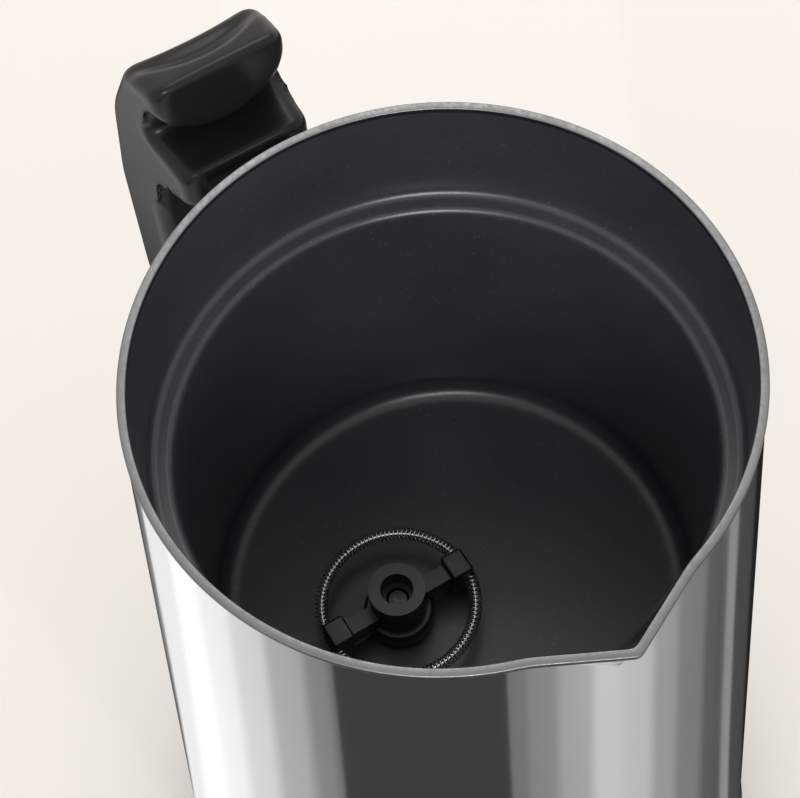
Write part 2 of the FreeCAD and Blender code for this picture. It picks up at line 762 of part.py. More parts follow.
def make_motor():
    """Still pieces of the motor: can, field magnets, end cap and screws."""
    inner = motor_radius - motor_can_wall
    can = cylinder(motor_radius, motor_bottom_z, motor_top_z).cut(
        cylinder(inner, motor_bottom_z, motor_top_z - motor_can_wall))
    boss = cylinder(motor_boss_radius, motor_top_z, motor_top_z + chassis_platform)
    can_roof_z = motor_top_z - motor_can_wall
    can = fused([can, boss]).cut(cylinder(shaft_radius + running_fit, can_roof_z, platform_z))
    threads = [cylinder(screw_radius, can_roof_z, motor_top_z, x) for x in (-motor_screw_circle, motor_screw_circle)]
    can = can.cut(Part.Compound(threads))
    ring = tube(inner, inner - motor_magnet_thickness, motor_bottom_z + motor_magnet_margin,
                motor_top_z - motor_magnet_margin)
    gap = block(-motor_magnet_gap, motor_magnet_gap, -motor_radius, motor_radius, motor_bottom_z, motor_top_z)
    cap = cylinder(motor_radius, motor_bottom_z - motor_cap_thickness, motor_bottom_z)
    spigot = tube(inner - running_fit, inner - motor_spigot, motor_bottom_z, motor_bottom_z + motor_spigot)
    cap = fused([cap, spigot])
    screws = []
    head_top = platform_z + screw_head_height
    half_slot = screw_slot_width / 2
    for x in (-motor_screw_circle, motor_screw_circle):
        head = cylinder(screw_head_radius, platform_z, head_top, x)
        shank = cylinder(screw_radius - running_fit, can_roof_z, platform_z, x)
        slot = block(x - screw_head_radius, x + screw_head_radius, -half_slot, half_slot,
                     head_top - screw_slot_depth, head_top)
        screws.append(fused([head, shank]).cut(slot))
    save("motor_can", on_whisk_axis(can))
    save("motor_field_magnets", on_whisk_axis(Part.Compound(ring.cut(gap).Solids)))
    save("motor_end_cap", on_whisk_axis(cap))
    save("motor_screws", on_whisk_axis(Part.Compound(screws)))


def make_heater():
    """Heater under the pot: plate, C-shaped element, thermal cut-out, sensor and its spring."""
    plate_low = under_pot_z - heater_plate_thickness
    plate = tube(heater_plate_outer, heater_plate_inner, plate_low, under_pot_z)
    tube_z = plate_low - heater_tube_radius
    sweep = 360.0 - heater_gap_angle
    element = Part.makeTorus(heater_ring_radius, heater_tube_radius, Vector(0, 0, tube_z), UP, 0, 360, sweep)
    element.rotate(Vector(0, 0, 0), UP, 90 + heater_gap_angle / 2)
    pins = []
    for side in (-1, 1):
        angle = math.radians(90 + side * heater_gap_angle / 2)
        along = Vector(math.sin(angle) * side, -math.cos(angle) * side, 0)
        start = Vector(heater_ring_radius * math.cos(angle), heater_ring_radius * math.sin(angle), tube_z)
        pin_start = start - along * heater_terminal_overlap
        pins.append(rod(heater_terminal_radius, pin_start, along, heater_terminal_length))
    element = fused([element] + pins)
    cutout = cylinder(cutout_radius, plate_low - cutout_height, plate_low, 0, heater_ring_radius)
    sensor_low = under_pot_z - sensor_height
    sensor = cylinder(sensor_radius, sensor_low, under_pot_z, 0, sensor_circle_radius)
    stub = cylinder(sensor_stub_radius, sensor_low - sensor_stub_length, sensor_low, 0, sensor_circle_radius)
    spring = spring_sleeve(sensor_radius - spring_wire_radius, spring_wire_radius, sensor_low - platform_z)
    spring.translate(Vector(0, sensor_circle_radius, platform_z))
    save("heater_plate", plate)
    save("heater_element", element)
    save("thermal_cutout", cutout)
    save("temperature_sensor", fused([sensor, stub]))
    save("sensor_spring", spring)


def make_chassis():
    """Plastic frame between pot and bottom cover, with the motor's platform and three posts."""
    ring_top = under_pot_z - chassis_drop
    ring_low = ring_top - chassis_ring_height
    outer_inset = shell_wall + cover_fit
    inner_radius = heater_plate_outer + chassis_clearance
    ring = flared(ring_low, ring_top, outer_inset).cut(cylinder(inner_radius + chassis_wall, ring_low, ring_top))
    cup = tube(inner_radius + chassis_wall, inner_radius, motor_top_z, ring_top)
    platform = cylinder(inner_radius, motor_top_z, platform_z)
    holes = around(cylinder(vent_radius, motor_top_z, platform_z, vent_circle_radius), 3, 60.0)
    holes.append(cylinder(motor_boss_radius + seam_gap, motor_top_z, platform_z, whisk_x, whisk_y))
    for x in (-motor_screw_circle, motor_screw_circle):
        holes.append(cylinder(screw_radius + screw_clearance, motor_top_z, platform_z, whisk_x + x, whisk_y))
    posts = around(cylinder(boss_radius, boss_top_z(), motor_top_z, boss_circle_radius), 3, 60.0)
    frame = fused([ring, cup, platform.cut(Part.Compound(holes))] + posts)
    drill_top = boss_top_z() + bottom_screw_reach + 2 * screw_radius
    drill = cylinder(screw_radius + running_fit, boss_top_z(), drill_top, boss_circle_radius)
    save("chassis", frame.cut(Part.Compound(around(drill, 3, 60.0))))


def boss_top_z():
    """Height of the bottom cover's bosses, where the chassis posts stand."""
    return shell_bottom_z + cover_upstand


def make_power_board():
    """Power board on the chassis posts' level, with its tall components as one group."""
    x = power_board_length / 2
    y = power_board_width / 2
    top = power_board_z + board_thickness
    board = block(-x, x, -y, y, power_board_z, top)
    relay_x, relay_y, relay_z = relay_size
    coil_x, coil_y, coil_z = transformer_size
    low = power_board_z
    left = component_margin - x
    right = x - component_margin
    front = component_margin - y
    parts = [block(left, left + relay_x, front, front + relay_y, low - relay_z, low)]
    parts.append(block(right - coil_x, right, front, front + coil_y, low - coil_z, low))
    for place in (-1, 0, 1):
        capacitor_x = place * capacitor_pitch
        parts.append(cylinder(capacitor_radius, low - capacitor_height, low, capacitor_x, y - capacitor_margin))
    save("power_board", board)
    save("board_components", Part.Compound(parts))


# ---- bottom cover and connectors --------------------------------------------------------------

def socket_radius():
    """Outside radius of the jug's connector."""
    return tower_radius + tower_clearance + socket_wall


def make_bottom():
    """Bottom cover of the jug with its seal, screws, connector and contacts."""
    edge_radius = shell_radius(shell_bottom_z)
    disc = cylinder(edge_radius, cover_z, shell_bottom_z)
    disc = disc.makeFillet(moulded_edge, edges_below(disc, cover_z + moulded_edge))
    top = shell_bottom_z + cover_upstand
    outer_inset = shell_wall + cover_fit
    upstand = flared(shell_bottom_z, top, outer_inset).cut(
        flared(shell_bottom_z, top, outer_inset + cover_upstand_wall))
    seal_z = shell_bottom_z + cover_upstand / 2
    seal_radius = shell_radius(seal_z, shell_wall) - seal_wire_radius - running_fit
    groove = tube(seal_radius + seal_groove_depth, seal_radius - seal_wire_radius - running_fit,
                  seal_z - seal_wire_radius - seam_gap, seal_z + seal_wire_radius + seam_gap)
    boss = cylinder(boss_radius, shell_bottom_z, boss_top_z(), boss_circle_radius)
    turret = cylinder(socket_radius() + turret_wall, shell_bottom_z, socket_top_z() - socket_roof / 2)
    cover = fused([disc, upstand.cut(groove), turret] + around(boss, 3, 60.0))
    cover = cover.cut(cylinder(socket_radius() + running_fit, cover_z, socket_top_z()))
    head_low = cover_z + bottom_screw_sink
    head_top = head_low + screw_head_height
    through = cylinder(screw_radius + screw_clearance, cover_z, boss_top_z(), boss_circle_radius)
    sink = cylinder(screw_head_radius + screw_clearance, cover_z, head_top, boss_circle_radius)
    cover = cover.cut(Part.Compound(around(through, 3, 60.0) + around(sink, 3, 60.0)))
    head = cylinder(screw_head_radius, head_low, head_top, boss_circle_radius)
    shank = cylinder(screw_radius, head_low, boss_top_z() + bottom_screw_reach, boss_circle_radius)
    screw = fused([head, shank]).cut(upright_slot(head_low))
    save("bottom_cover", cover)
    save("bottom_seal", Part.makeTorus(seal_radius, seal_wire_radius, Vector(0, 0, seal_z)))
    save("bottom_screws", Part.Compound(around(screw, 3, 60.0)))


def upright_slot(z):
    """Driver slot in the underside of a screw on the boss circle."""
    half = screw_slot_width / 2
    return block(boss_circle_radius - half, boss_circle_radius + half, -screw_head_radius, screw_head_radius,
                 z - screw_slot_depth, z + screw_slot_depth)


def socket_top_z():
    """Top of the jug's connector."""
    return deck_z + tower_height + socket_headroom + socket_roof


def make_jug_connector():
    """Socket in the jug's floor that drops over the base's tower, with a pin and a ring blade."""
    roof_z = socket_top_z() - socket_roof
    body = cylinder(socket_radius(), cover_z, socket_top_z())
    body = body.cut(cylinder(tower_radius + tower_clearance, cover_z, roof_z))
    tail_z = socket_top_z() + connector_tail
    half_wall = contact_wall / 2
    pin = cylinder(pin_radius, deck_z + pin_above_deck, tail_z)
    blade = tube(ring_track_radius + half_wall, ring_track_radius - half_wall, deck_z + blade_above_deck, roof_z)
    tab = cylinder(tab_radius, roof_z, tail_z, ring_track_radius)
    contacts = [pin, fused([blade, tab])]
    save("jug_connector", body.cut(Part.Compound([pin, tab])))
    save("jug_contacts", Part.Compound(contacts))


def make_base():
    """Power base: housing, bottom plate, feet, screws, tower, contacts and cord gland."""
    outer = shell_radius(shell_bottom_z) + base_margin
    housing = cylinder(outer, foot_height, deck_z)
    housing = housing.makeFillet(base_edge_fillet, edges_above(housing, deck_z - moulded_edge))
    plate_top = foot_height + base_plate_thickness
    inside_top = deck_z - base_wall
    housing = housing.cut(cylinder(outer - base_wall, foot_height, inside_top))
    tower_hole = cylinder(tower_radius + seam_gap, inside_top, deck_z)
    gland_z = (plate_top + inside_top) / 2
    gland_hole = rod(gland_radius - gland_step, Vector(2 * base_wall - outer, 0, gland_z), OUTWARD, 3 * base_wall)
    posts = around(cylinder(boss_radius, plate_top, inside_top, boss_circle_radius), 3, 60.0)
    drill_top = inside_top - moulded_edge
    drills = around(cylinder(screw_radius + running_fit, plate_top, drill_top, boss_circle_radius), 3, 60.0)
    housing = fused([housing.cut(tower_hole).cut(gland_hole)] + posts).cut(Part.Compound(drills))
    plate = cylinder(outer - base_wall - cover_fit, foot_height, plate_top)
    foot_circle = outer - base_wall - foot_radius - foot_margin
    recess_top = foot_height + foot_recess
    sink_top = foot_height + base_screw_sink
    spots = around(cylinder(foot_radius + seam_gap, foot_height, recess_top, foot_circle), 4, 45.0)
    spots.append(cylinder(foot_radius + seam_gap, foot_height, recess_top))
    through = around(cylinder(screw_radius + screw_clearance, foot_height, plate_top, boss_circle_radius), 3, 60.0)
    sinks = around(cylinder(screw_head_radius + seam_gap, foot_height, sink_top, boss_circle_radius), 3, 60.0)
    feet = around(cylinder(foot_radius, 0, recess_top, foot_circle), 4, 45.0)
    feet.append(cylinder(foot_radius, 0, recess_top))
    feet = [foot.makeChamfer(foot_chamfer, edges_below(foot, moulded_edge)) for foot in feet]
    head = cylinder(screw_head_radius, foot_height + seam_gap, sink_top, boss_circle_radius)
    shank = cylinder(screw_radius, foot_height + seam_gap, plate_top + base_screw_reach, boss_circle_radius)
    screw = fused([head, shank]).cut(upright_slot(foot_height))
    save("base_housing", housing)
    save("base_bottom_plate", plate.cut(Part.Compound(spots + through + sinks)))
    save("base_feet", Part.Compound(feet))
    save("base_screws", Part.Compound(around(screw, 3, 60.0)))
    make_tower(plate_top, inside_top)
    make_gland(outer, gland_z)


def make_tower(plate_top, inside_top):
    """Connector tower of the base with its centre sleeve and ring track."""
    top = deck_z + tower_height
    tower = cylinder(tower_radius, plate_top, top)
    tower = tower.makeFillet(moulded_edge, edges_above(tower, top - moulded_edge))
    flange = cylinder(tower_flange_radius, inside_top - tower_flange_thickness, inside_top)
    track_low = top - ring_track_depth - track_floor
    outer_track = ring_track_radius + ring_track_width / 2
    inner_track = ring_track_radius - ring_track_width / 2
    hole = cylinder(centre_hole_radius, track_low, top)
    track = tube(outer_track, inner_track, track_low, top)
    contact_top = top - contact_drop
    sleeve_radius = centre_hole_radius - running_fit
    ring_radius = outer_track - running_fit
    sleeve = tube(sleeve_radius, sleeve_radius - contact_wall, track_low, contact_top)
    ring = tube(ring_radius, ring_radius - contact_wall, track_low, contact_top)
    save("base_connector", fused([tower, flange]).cut(hole).cut(track))
    save("base_contacts", Part.Compound([sleeve, ring]))


def make_gland(outer, z):
    """Grommet where the cord enters the back of the base."""
    neck_radius = gland_radius - gland_step - running_fit
    inner_end = Vector(base_wall + gland_overlap - outer, 0, z)
    neck = rod(neck_radius, inner_end, OUTWARD, base_wall + gland_overlap)
    inside = rod(gland_radius, inner_end, OUTWARD, gland_flange)
    nose = Part.makeCone(neck_radius, gland_bore + gland_tip_wall, gland_length, Vector(-outer, 0, z), OUTWARD)
    bore = rod(gland_bore, inner_end, OUTWARD, gland_length + base_wall + gland_overlap)
    save("cord_gland", fused([neck, inside, nose]).cut(bore))


def main():
    """Build every node."""
    os.makedirs("parts", exist_ok=True)
    save("outer_shell", make_shell())
    save("inner_pot", make_pot())
    make_handle()
    make_button()
    make_whisk()
    make_rotor()
    make_motor()
    make_heater()
    make_chassis()
    make_power_board()
    make_bottom()
    make_jug_connector()
    make_base()


main()
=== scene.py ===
"""Looks of the milk frother: steel jug, non-stick pot, handle, whisk and power base."""
import json
import logging
import math
from dataclasses import dataclass, field
from enum import Enum

import bmesh
import bpy
from mathutils import Matrix, Vector

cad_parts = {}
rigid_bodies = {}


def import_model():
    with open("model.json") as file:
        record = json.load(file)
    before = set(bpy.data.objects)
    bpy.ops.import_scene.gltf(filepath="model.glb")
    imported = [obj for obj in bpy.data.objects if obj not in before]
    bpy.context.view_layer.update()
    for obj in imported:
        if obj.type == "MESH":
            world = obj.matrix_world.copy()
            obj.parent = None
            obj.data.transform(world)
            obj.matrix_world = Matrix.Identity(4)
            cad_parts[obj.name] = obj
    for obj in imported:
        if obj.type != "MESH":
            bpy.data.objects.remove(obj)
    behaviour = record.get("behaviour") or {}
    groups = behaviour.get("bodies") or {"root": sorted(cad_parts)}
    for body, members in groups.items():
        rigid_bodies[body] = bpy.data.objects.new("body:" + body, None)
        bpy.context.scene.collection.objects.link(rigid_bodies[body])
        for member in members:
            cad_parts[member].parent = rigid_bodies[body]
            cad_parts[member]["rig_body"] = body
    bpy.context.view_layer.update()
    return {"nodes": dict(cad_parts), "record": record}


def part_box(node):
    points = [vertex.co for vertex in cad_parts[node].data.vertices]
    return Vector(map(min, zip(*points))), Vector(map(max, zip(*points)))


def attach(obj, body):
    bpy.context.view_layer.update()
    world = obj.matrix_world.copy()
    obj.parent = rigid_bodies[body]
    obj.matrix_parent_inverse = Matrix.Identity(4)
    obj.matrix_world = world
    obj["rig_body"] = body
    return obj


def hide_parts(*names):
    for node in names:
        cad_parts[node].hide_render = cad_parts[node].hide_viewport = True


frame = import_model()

LOG = logging.getLogger("frother")
MM = 0.001
Profile = list[tuple[float, float]]
Triple = tuple[float, float, float]
EVEN: Triple = (1.0, 1.0, 1.0)


# ---- shader maths ---------------------------------------------------------------


class Value:
    """A number socket in a material's tree that Python operators act on."""

    def __init__(self, paint: "Paint", socket: bpy.types.NodeSocket) -> None:
        """Wrap a socket of a material's tree."""
        self.paint = paint
        self.socket = socket

    def _math(self, operation: str, first: object, second: object) -> "Value":
        """Add a Math node.

        Args:
            operation: Math node operation.
            first: Value or number for the first input.
            second: Value or number for the second input.

        Returns:
            The node's result.
        """
        return self.paint.node("ShaderNodeMath", {"operation": operation}, {0: first, 1: second})

    def __add__(self, other: object) -> "Value":
        """Sum."""
        return self._math("ADD", self, other)

    def __radd__(self, other: object) -> "Value":
        """Sum with the value on the right."""
        return self._math("ADD", other, self)

    def __sub__(self, other: object) -> "Value":
        """Difference."""
        return self._math("SUBTRACT", self, other)

    def __rsub__(self, other: object) -> "Value":
        """Difference with the value on the right."""
        return self._math("SUBTRACT", other, self)

    def __mul__(self, other: object) -> "Value":
        """Product."""
        return self._math("MULTIPLY", self, other)

    def __rmul__(self, other: object) -> "Value":
        """Product with the value on the right."""
        return self._math("MULTIPLY", other, self)


class Paint:
    """One material and the nodes that it is made of."""

    def __init__(self, name: str) -> None:
        """Start a material with an empty Principled shader.

        Args:
            name: name of the material.
        """
        self.material = bpy.data.materials.new(name)
        self.material.use_nodes = True
        self.tree = self.material.node_tree
        self.shader = next(n for n in self.tree.nodes if n.type == "BSDF_PRINCIPLED")

    def node(self, kind: str, settings: dict, inputs: dict, output: object = 0) -> Value:
        """Add any node.

        Args:
            kind: node type.
            settings: attributes of the node, set before its sockets.
            inputs: socket name or index to a number, colour, vector or Value.
            output: name or index of the socket to return.

        Returns:
            The chosen output.
        """
        made = self.tree.nodes.new(kind)
        for key, value in settings.items():
            setattr(made, key, value)
        for key, value in inputs.items():
            self.feed(made.inputs[key], value)
        return Value(self, made.outputs[output])

    def feed(self, socket: bpy.types.NodeSocket, value: object) -> None:
        """Link or set one input socket."""
        if isinstance(value, Value):
            self.tree.links.new(value.socket, socket)
        else:
            socket.default_value = value

    def place(self, scale: Triple = EVEN) -> Value:
        """Object coordinates, stretched by a scale."""
        where = self.node("ShaderNodeTexCoord", {}, {}, "Object")
        return self.node("ShaderNodeMapping", {}, {"Vector": where, "Scale": scale})

    def noise(self, scale: float, detail: float = 3.0, stretch: Triple = EVEN) -> Value:
        """Fractal noise from 0 to 1 on object coordinates."""
        inputs = {"Vector": self.place(stretch), "Scale": scale, "Detail": detail}
        return self.node("ShaderNodeTexNoise", {}, inputs)

    def window(self, value: Value, low: float, high: float, out_low: float, out_high: float) -> Value:
        """Map a range of values to another, clamped."""
        limits = {"Value": value, "From Min": low, "From Max": high, "To Min": out_low, "To Max": out_high}
        return self.node("ShaderNodeMapRange", {}, limits)

    def blend(self, mask: Value, first: object, second: object) -> Value:
        """Mix two colours by a mask."""
        return self.node("ShaderNodeMix", {"data_type": "RGBA"}, {0: mask, 6: first, 7: second}, 2)

    def mottled(self, mask: Value, colour: Triple, dark: float, light: float, edge: float = 0.3) -> Value:
        """Colour that drifts between a darker and a lighter tint of itself.

        Args:
            mask: noise that carries the drift.
            colour: the colour.
            dark: factor of the darker tint.
            light: factor of the lighter tint.
            edge: mask value at which the drift starts; it ends as far below 1.

        Returns:
            The colour.
        """
        drift = self.window(mask, edge, 1.0 - edge, 0.0, 1.0)
        return self.blend(drift, scaled(colour, dark), scaled(colour, light))

    def bump(self, height: Value, distance: float) -> Value:
        """Surface normal from a height."""
        return self.node("ShaderNodeBump", {}, {"Height": height, "Distance": distance, "Strength": 1.0})

    def done(self, **values: object) -> bpy.types.Material:
        """Set the shader's sockets, spaces written as underscores, and return the material."""
        for key, value in values.items():
            self.feed(self.shader.inputs[key.replace("_", " ")], value)
        return self.material


def rgba(colour: Triple) -> tuple[float, float, float, float]:
    """Colour with full alpha."""
    return (*colour, 1.0)


def scaled(colour: Triple, factor: float) -> tuple[float, float, float, float]:
    """Colour made lighter or darker, with full alpha."""
    return rgba(tuple(min(1.0, c * factor) for c in colour))


# ---- finishes -------------------------------------------------------------------------


@dataclass(frozen=True)
class Moulded:
    """Moulded plastic or rubber: even colour, fine spark grain, handled sheen."""

    name: str
    colour: tuple[float, float, float]
    roughness: float = 0.35
    grain: float = 2600.0
    depth: float = 0.02 * MM
    coat: float = 0.0
    specular: float = 0.5

    def make(self) -> bpy.types.Material:
        """Build the material."""
        paint = Paint(self.name)
        cloud = paint.noise(38.0, 4.0)
        grain = paint.noise(self.grain, 2.0)
        colour = paint.mottled(cloud, self.colour, 0.86, 1.16)
        rough = paint.window(cloud, 0.25, 0.75, self.roughness * 0.88, self.roughness * 1.14)
        rough = rough + (grain - 0.5) * 0.06
        return paint.done(Base_Color=colour, Roughness=rough, Coat_Weight=self.coat, Coat_Roughness=0.12,
                          Specular_IOR_Level=self.specular, Normal=paint.bump(grain, self.depth))


@dataclass(frozen=True)
class Metal:
    """Plain metal: plated, drawn or cast, with a fine directional or cast texture."""

    name: str
    colour: tuple[float, float, float]
    roughness: float = 0.3
    grain: float = 900.0
    stretch: Triple = EVEN
    depth: float = 0.01 * MM

    def make(self) -> bpy.types.Material:
        """Build the material."""
        paint = Paint(self.name)
        cloud = paint.noise(60.0, 4.0)
        grain = paint.noise(self.grain, 3.0, self.stretch)
        colour = paint.mottled(cloud, self.colour, 0.88, 1.08)
        rough = paint.window(grain, 0.3, 0.7, self.roughness * 0.8, self.roughness * 1.25)
        return paint.done(Base_Color=colour, Metallic=1.0, Roughness=rough,
                          Normal=paint.bump(grain, self.depth))


@dataclass(frozen=True)
class PolishedSteel:
    """Mirror-polished stainless steel with faint upright polishing lines and a soft haze."""

    name: str = "polished_stainless"
    colour: Triple = (0.80, 0.80, 0.80)
    roughness: float = 0.07
    line_depth: float = 0.0008 * MM

    def make(self) -> bpy.types.Material:
        """Build the material."""
        paint = Paint(self.name)
        lines = paint.noise(1500.0, 3.0, (1.0, 1.0, 0.02))
        haze = paint.noise(26.0, 5.0, (1.0, 1.0, 0.5))
        colour = paint.mottled(haze, self.colour, 0.97, 1.02, 0.35)
        rough = paint.window(haze, 0.3, 0.75, self.roughness * 0.8, self.roughness * 1.4)
        rough = rough + (lines - 0.5) * 0.03
        return paint.done(Base_Color=colour, Metallic=1.0, Roughness=rough,
                          Normal=paint.bump(lines, self.line_depth))


@dataclass(frozen=True)
class NonStick:
    """Black non-stick coating: satin, with fine light specks and a slight orange peel."""

    name: str = "nonstick_coating"
    colour: Triple = (0.034, 0.034, 0.041)
    speck: Triple = (0.110, 0.110, 0.115)
    roughness: float = 0.31

    def make(self) -> bpy.types.Material:
        """Build the material."""
        paint = Paint(self.name)
        cells = paint.node("ShaderNodeTexVoronoi", {}, {"Vector": paint.place(), "Scale": 1500.0}, "Distance")
        chance = paint.window(paint.noise(900.0, 2.0), 0.55, 0.68, 0.0, 1.0)
        specks = paint.window(cells, 0.12, 0.30, 1.0, 0.0) * chance
        peel = paint.noise(1100.0, 2.0)
        cloud = paint.noise(30.0, 4.0)
        base = paint.mottled(cloud, self.colour, 0.85, 1.2)
        colour = paint.blend(specks, base, rgba(self.speck))
        rough = paint.window(cloud, 0.3, 0.7, self.roughness * 0.92, self.roughness * 1.1)
        rough = rough + specks * 0.08
        return paint.done(Base_Color=colour, Roughness=rough, Normal=paint.bump(peel, 0.012 * MM))


@dataclass(frozen=True)
class Board:
    """Circuit board: solder mask over faint copper tracks."""

    name: str = "circuit_board"
    colour: Triple = (0.02, 0.13, 0.05)

    def make(self) -> bpy.types.Material:
        """Build the material."""
        paint = Paint(self.name)
        inputs = {"Vector": paint.place(), "Scale": 160.0, "Mortar Size": 0.03}
        tracks = paint.node("ShaderNodeTexBrick", {}, inputs, "Fac")
        colour = paint.blend(tracks, rgba(self.colour), scaled(self.colour, 1.9))
        return paint.done(Base_Color=colour, Roughness=paint.window(paint.noise(300.0), 0.3, 0.7, 0.25, 0.4),
                          Normal=paint.bump(tracks, 0.03 * MM))


class Finish(Enum):
    """The record's material slots, each with the finish that it has here."""

    polished_steel = PolishedSteel()
    nonstick = NonStick()
    black_gloss = Moulded("black_gloss_plastic", (0.0085, 0.0085, 0.0088), 0.33, 2200.0, 0.006 * MM, 0.05,
                          0.22)
    black_matte = Moulded("black_grained_plastic", (0.017, 0.017, 0.018), 0.48, 2400.0, 0.03 * MM)
    whisk_black = Moulded("whisk_plastic", (0.0085, 0.0085, 0.0090), 0.34, 2600.0, 0.012 * MM)
    spring_steel = Metal("bright_wire", (0.72, 0.72, 0.73), 0.2, 1400.0)
    zinc_steel = Metal("zinc_plate", (0.52, 0.53, 0.55), 0.32, 900.0)
    rubber = Moulded("silicone_rubber", (0.024, 0.024, 0.025), 0.62, 1800.0, 0.02 * MM)
    light = Moulded("frosted_light_ring", (0.80, 0.82, 0.84), 0.45, 2000.0, 0.01 * MM)
    brass = Metal("plated_brass", (0.72, 0.52, 0.24), 0.26, 1100.0)
    white_plastic = Moulded("natural_plastic", (0.66, 0.66, 0.63), 0.45, 1800.0)
    board_green = Board()
    component = Moulded("component_case", (0.03, 0.034, 0.05), 0.4, 1500.0)
    magnet = Metal("nickel_magnet", (0.58, 0.57, 0.55), 0.18, 700.0)
    copper = Metal("copper_winding", (0.62, 0.30, 0.16), 0.33, 1500.0, (1.0, 1.0, 4.0))
    aluminium = Metal("cast_aluminium", (0.66, 0.67, 0.69), 0.42, 1300.0, (1.0, 1.0, 1.0), 0.03 * MM)


PIN_STEEL = Metal("dark_pin_steel", (0.07, 0.07, 0.075), 0.45, 1600.0)
CUT_STEEL = Metal("cut_steel_edge", (0.20, 0.20, 0.205), 0.42, 1600.0)


class Wardrobe:
    """Makes each finish once and hands it out by slot."""

    def __init__(self) -> None:
        """Start with nothing made."""
        self.made: dict[str, bpy.types.Material] = {}
        self.slot_of = {row["node"]: row["material_slot"] for row in frame["record"]["subparts"]}

    def get(self, slot: str) -> bpy.types.Material:
        """Material of a slot."""
        if slot not in self.made:
            self.made[slot] = Finish[slot].value.make()
        return self.made[slot]

    def dress_cad(self) -> None:
        """Give every CAD node its slot's material."""
        for name, obj in frame["nodes"].items():
            obj.data.materials.clear()
            obj.data.materials.append(self.get(self.slot_of[name]))


WARDROBE = Wardrobe()


# ---- mesh helpers ------------------------------------------------------------------------


def add_piece(name: str, mesh: bmesh.types.BMesh, sharp: float = 35.0) -> bpy.types.Object:
    """Turn a bmesh into a smooth-shaded object with crisp edges.

    Args:
        name: name of the piece.
        mesh: its geometry, freed here.
        sharp: angle in degrees past which an edge stays crisp.

    Returns:
        The object, at the origin.
    """
    limit = math.radians(sharp)
    for face in mesh.faces:
        face.smooth = True
    for edge in mesh.edges:
        edge.smooth = edge.calc_face_angle(0.0) < limit
    data = bpy.data.meshes.new(name)
    mesh.to_mesh(data)
    mesh.free()
    obj = bpy.data.objects.new(name, data)
    bpy.context.scene.collection.objects.link(obj)
    return obj


def refined(node: str) -> bpy.types.Object:
    """Copy of a CAD node with merged points and even shading, standing for the node."""
    mesh = bmesh.new()
    mesh.from_mesh(frame["nodes"][node].data)
    bmesh.ops.remove_doubles(mesh, verts=mesh.verts, dist=0.002 * MM)
    obj = add_piece(node + "_finish", mesh, 24.0)
    return dressed(obj, node, WARDROBE.slot_of[node], [node])


def dressed(obj: bpy.types.Object, node: str, slot: str, stands_for: list[str],
            material: bpy.types.Material | None = None) -> bpy.types.Object:
    """Give a piece its material, its body and the nodes that it stands for.

    Args:
        obj: the finished piece.
        node: CAD node whose body it rides on.
        slot: material slot.
        stands_for: CAD nodes that it replaces.
        material: its material, if it isn't the slot's.

    Returns:
        The piece.
    """
    obj.data.materials.clear()
    obj.data.materials.append(material or WARDROBE.get(slot))
    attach(obj, frame["nodes"][node]["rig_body"])
    if stands_for:
        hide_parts(*stands_for)
    LOG.info("%s: %d faces", obj.name, len(obj.data.polygons))
    return obj


def steps(start: float, end: float, count: int) -> list[float]:
    """Evenly spaced values, both ends included."""
    return [start + (end - start) * i / count for i in range(count + 1)]


def corner_arc(centre: tuple[float, float], radius: float, start: float, end: float, count: int) -> Profile:
    """Points of an arc in a profile, angles in degrees."""
    points = []
    for angle in steps(math.radians(start), math.radians(end), count):
        points.append((centre[0] + radius * math.cos(angle), centre[1] + radius * math.sin(angle)))
    return points


# ---- pouring lip and turned walls --------------------------------------------------------------


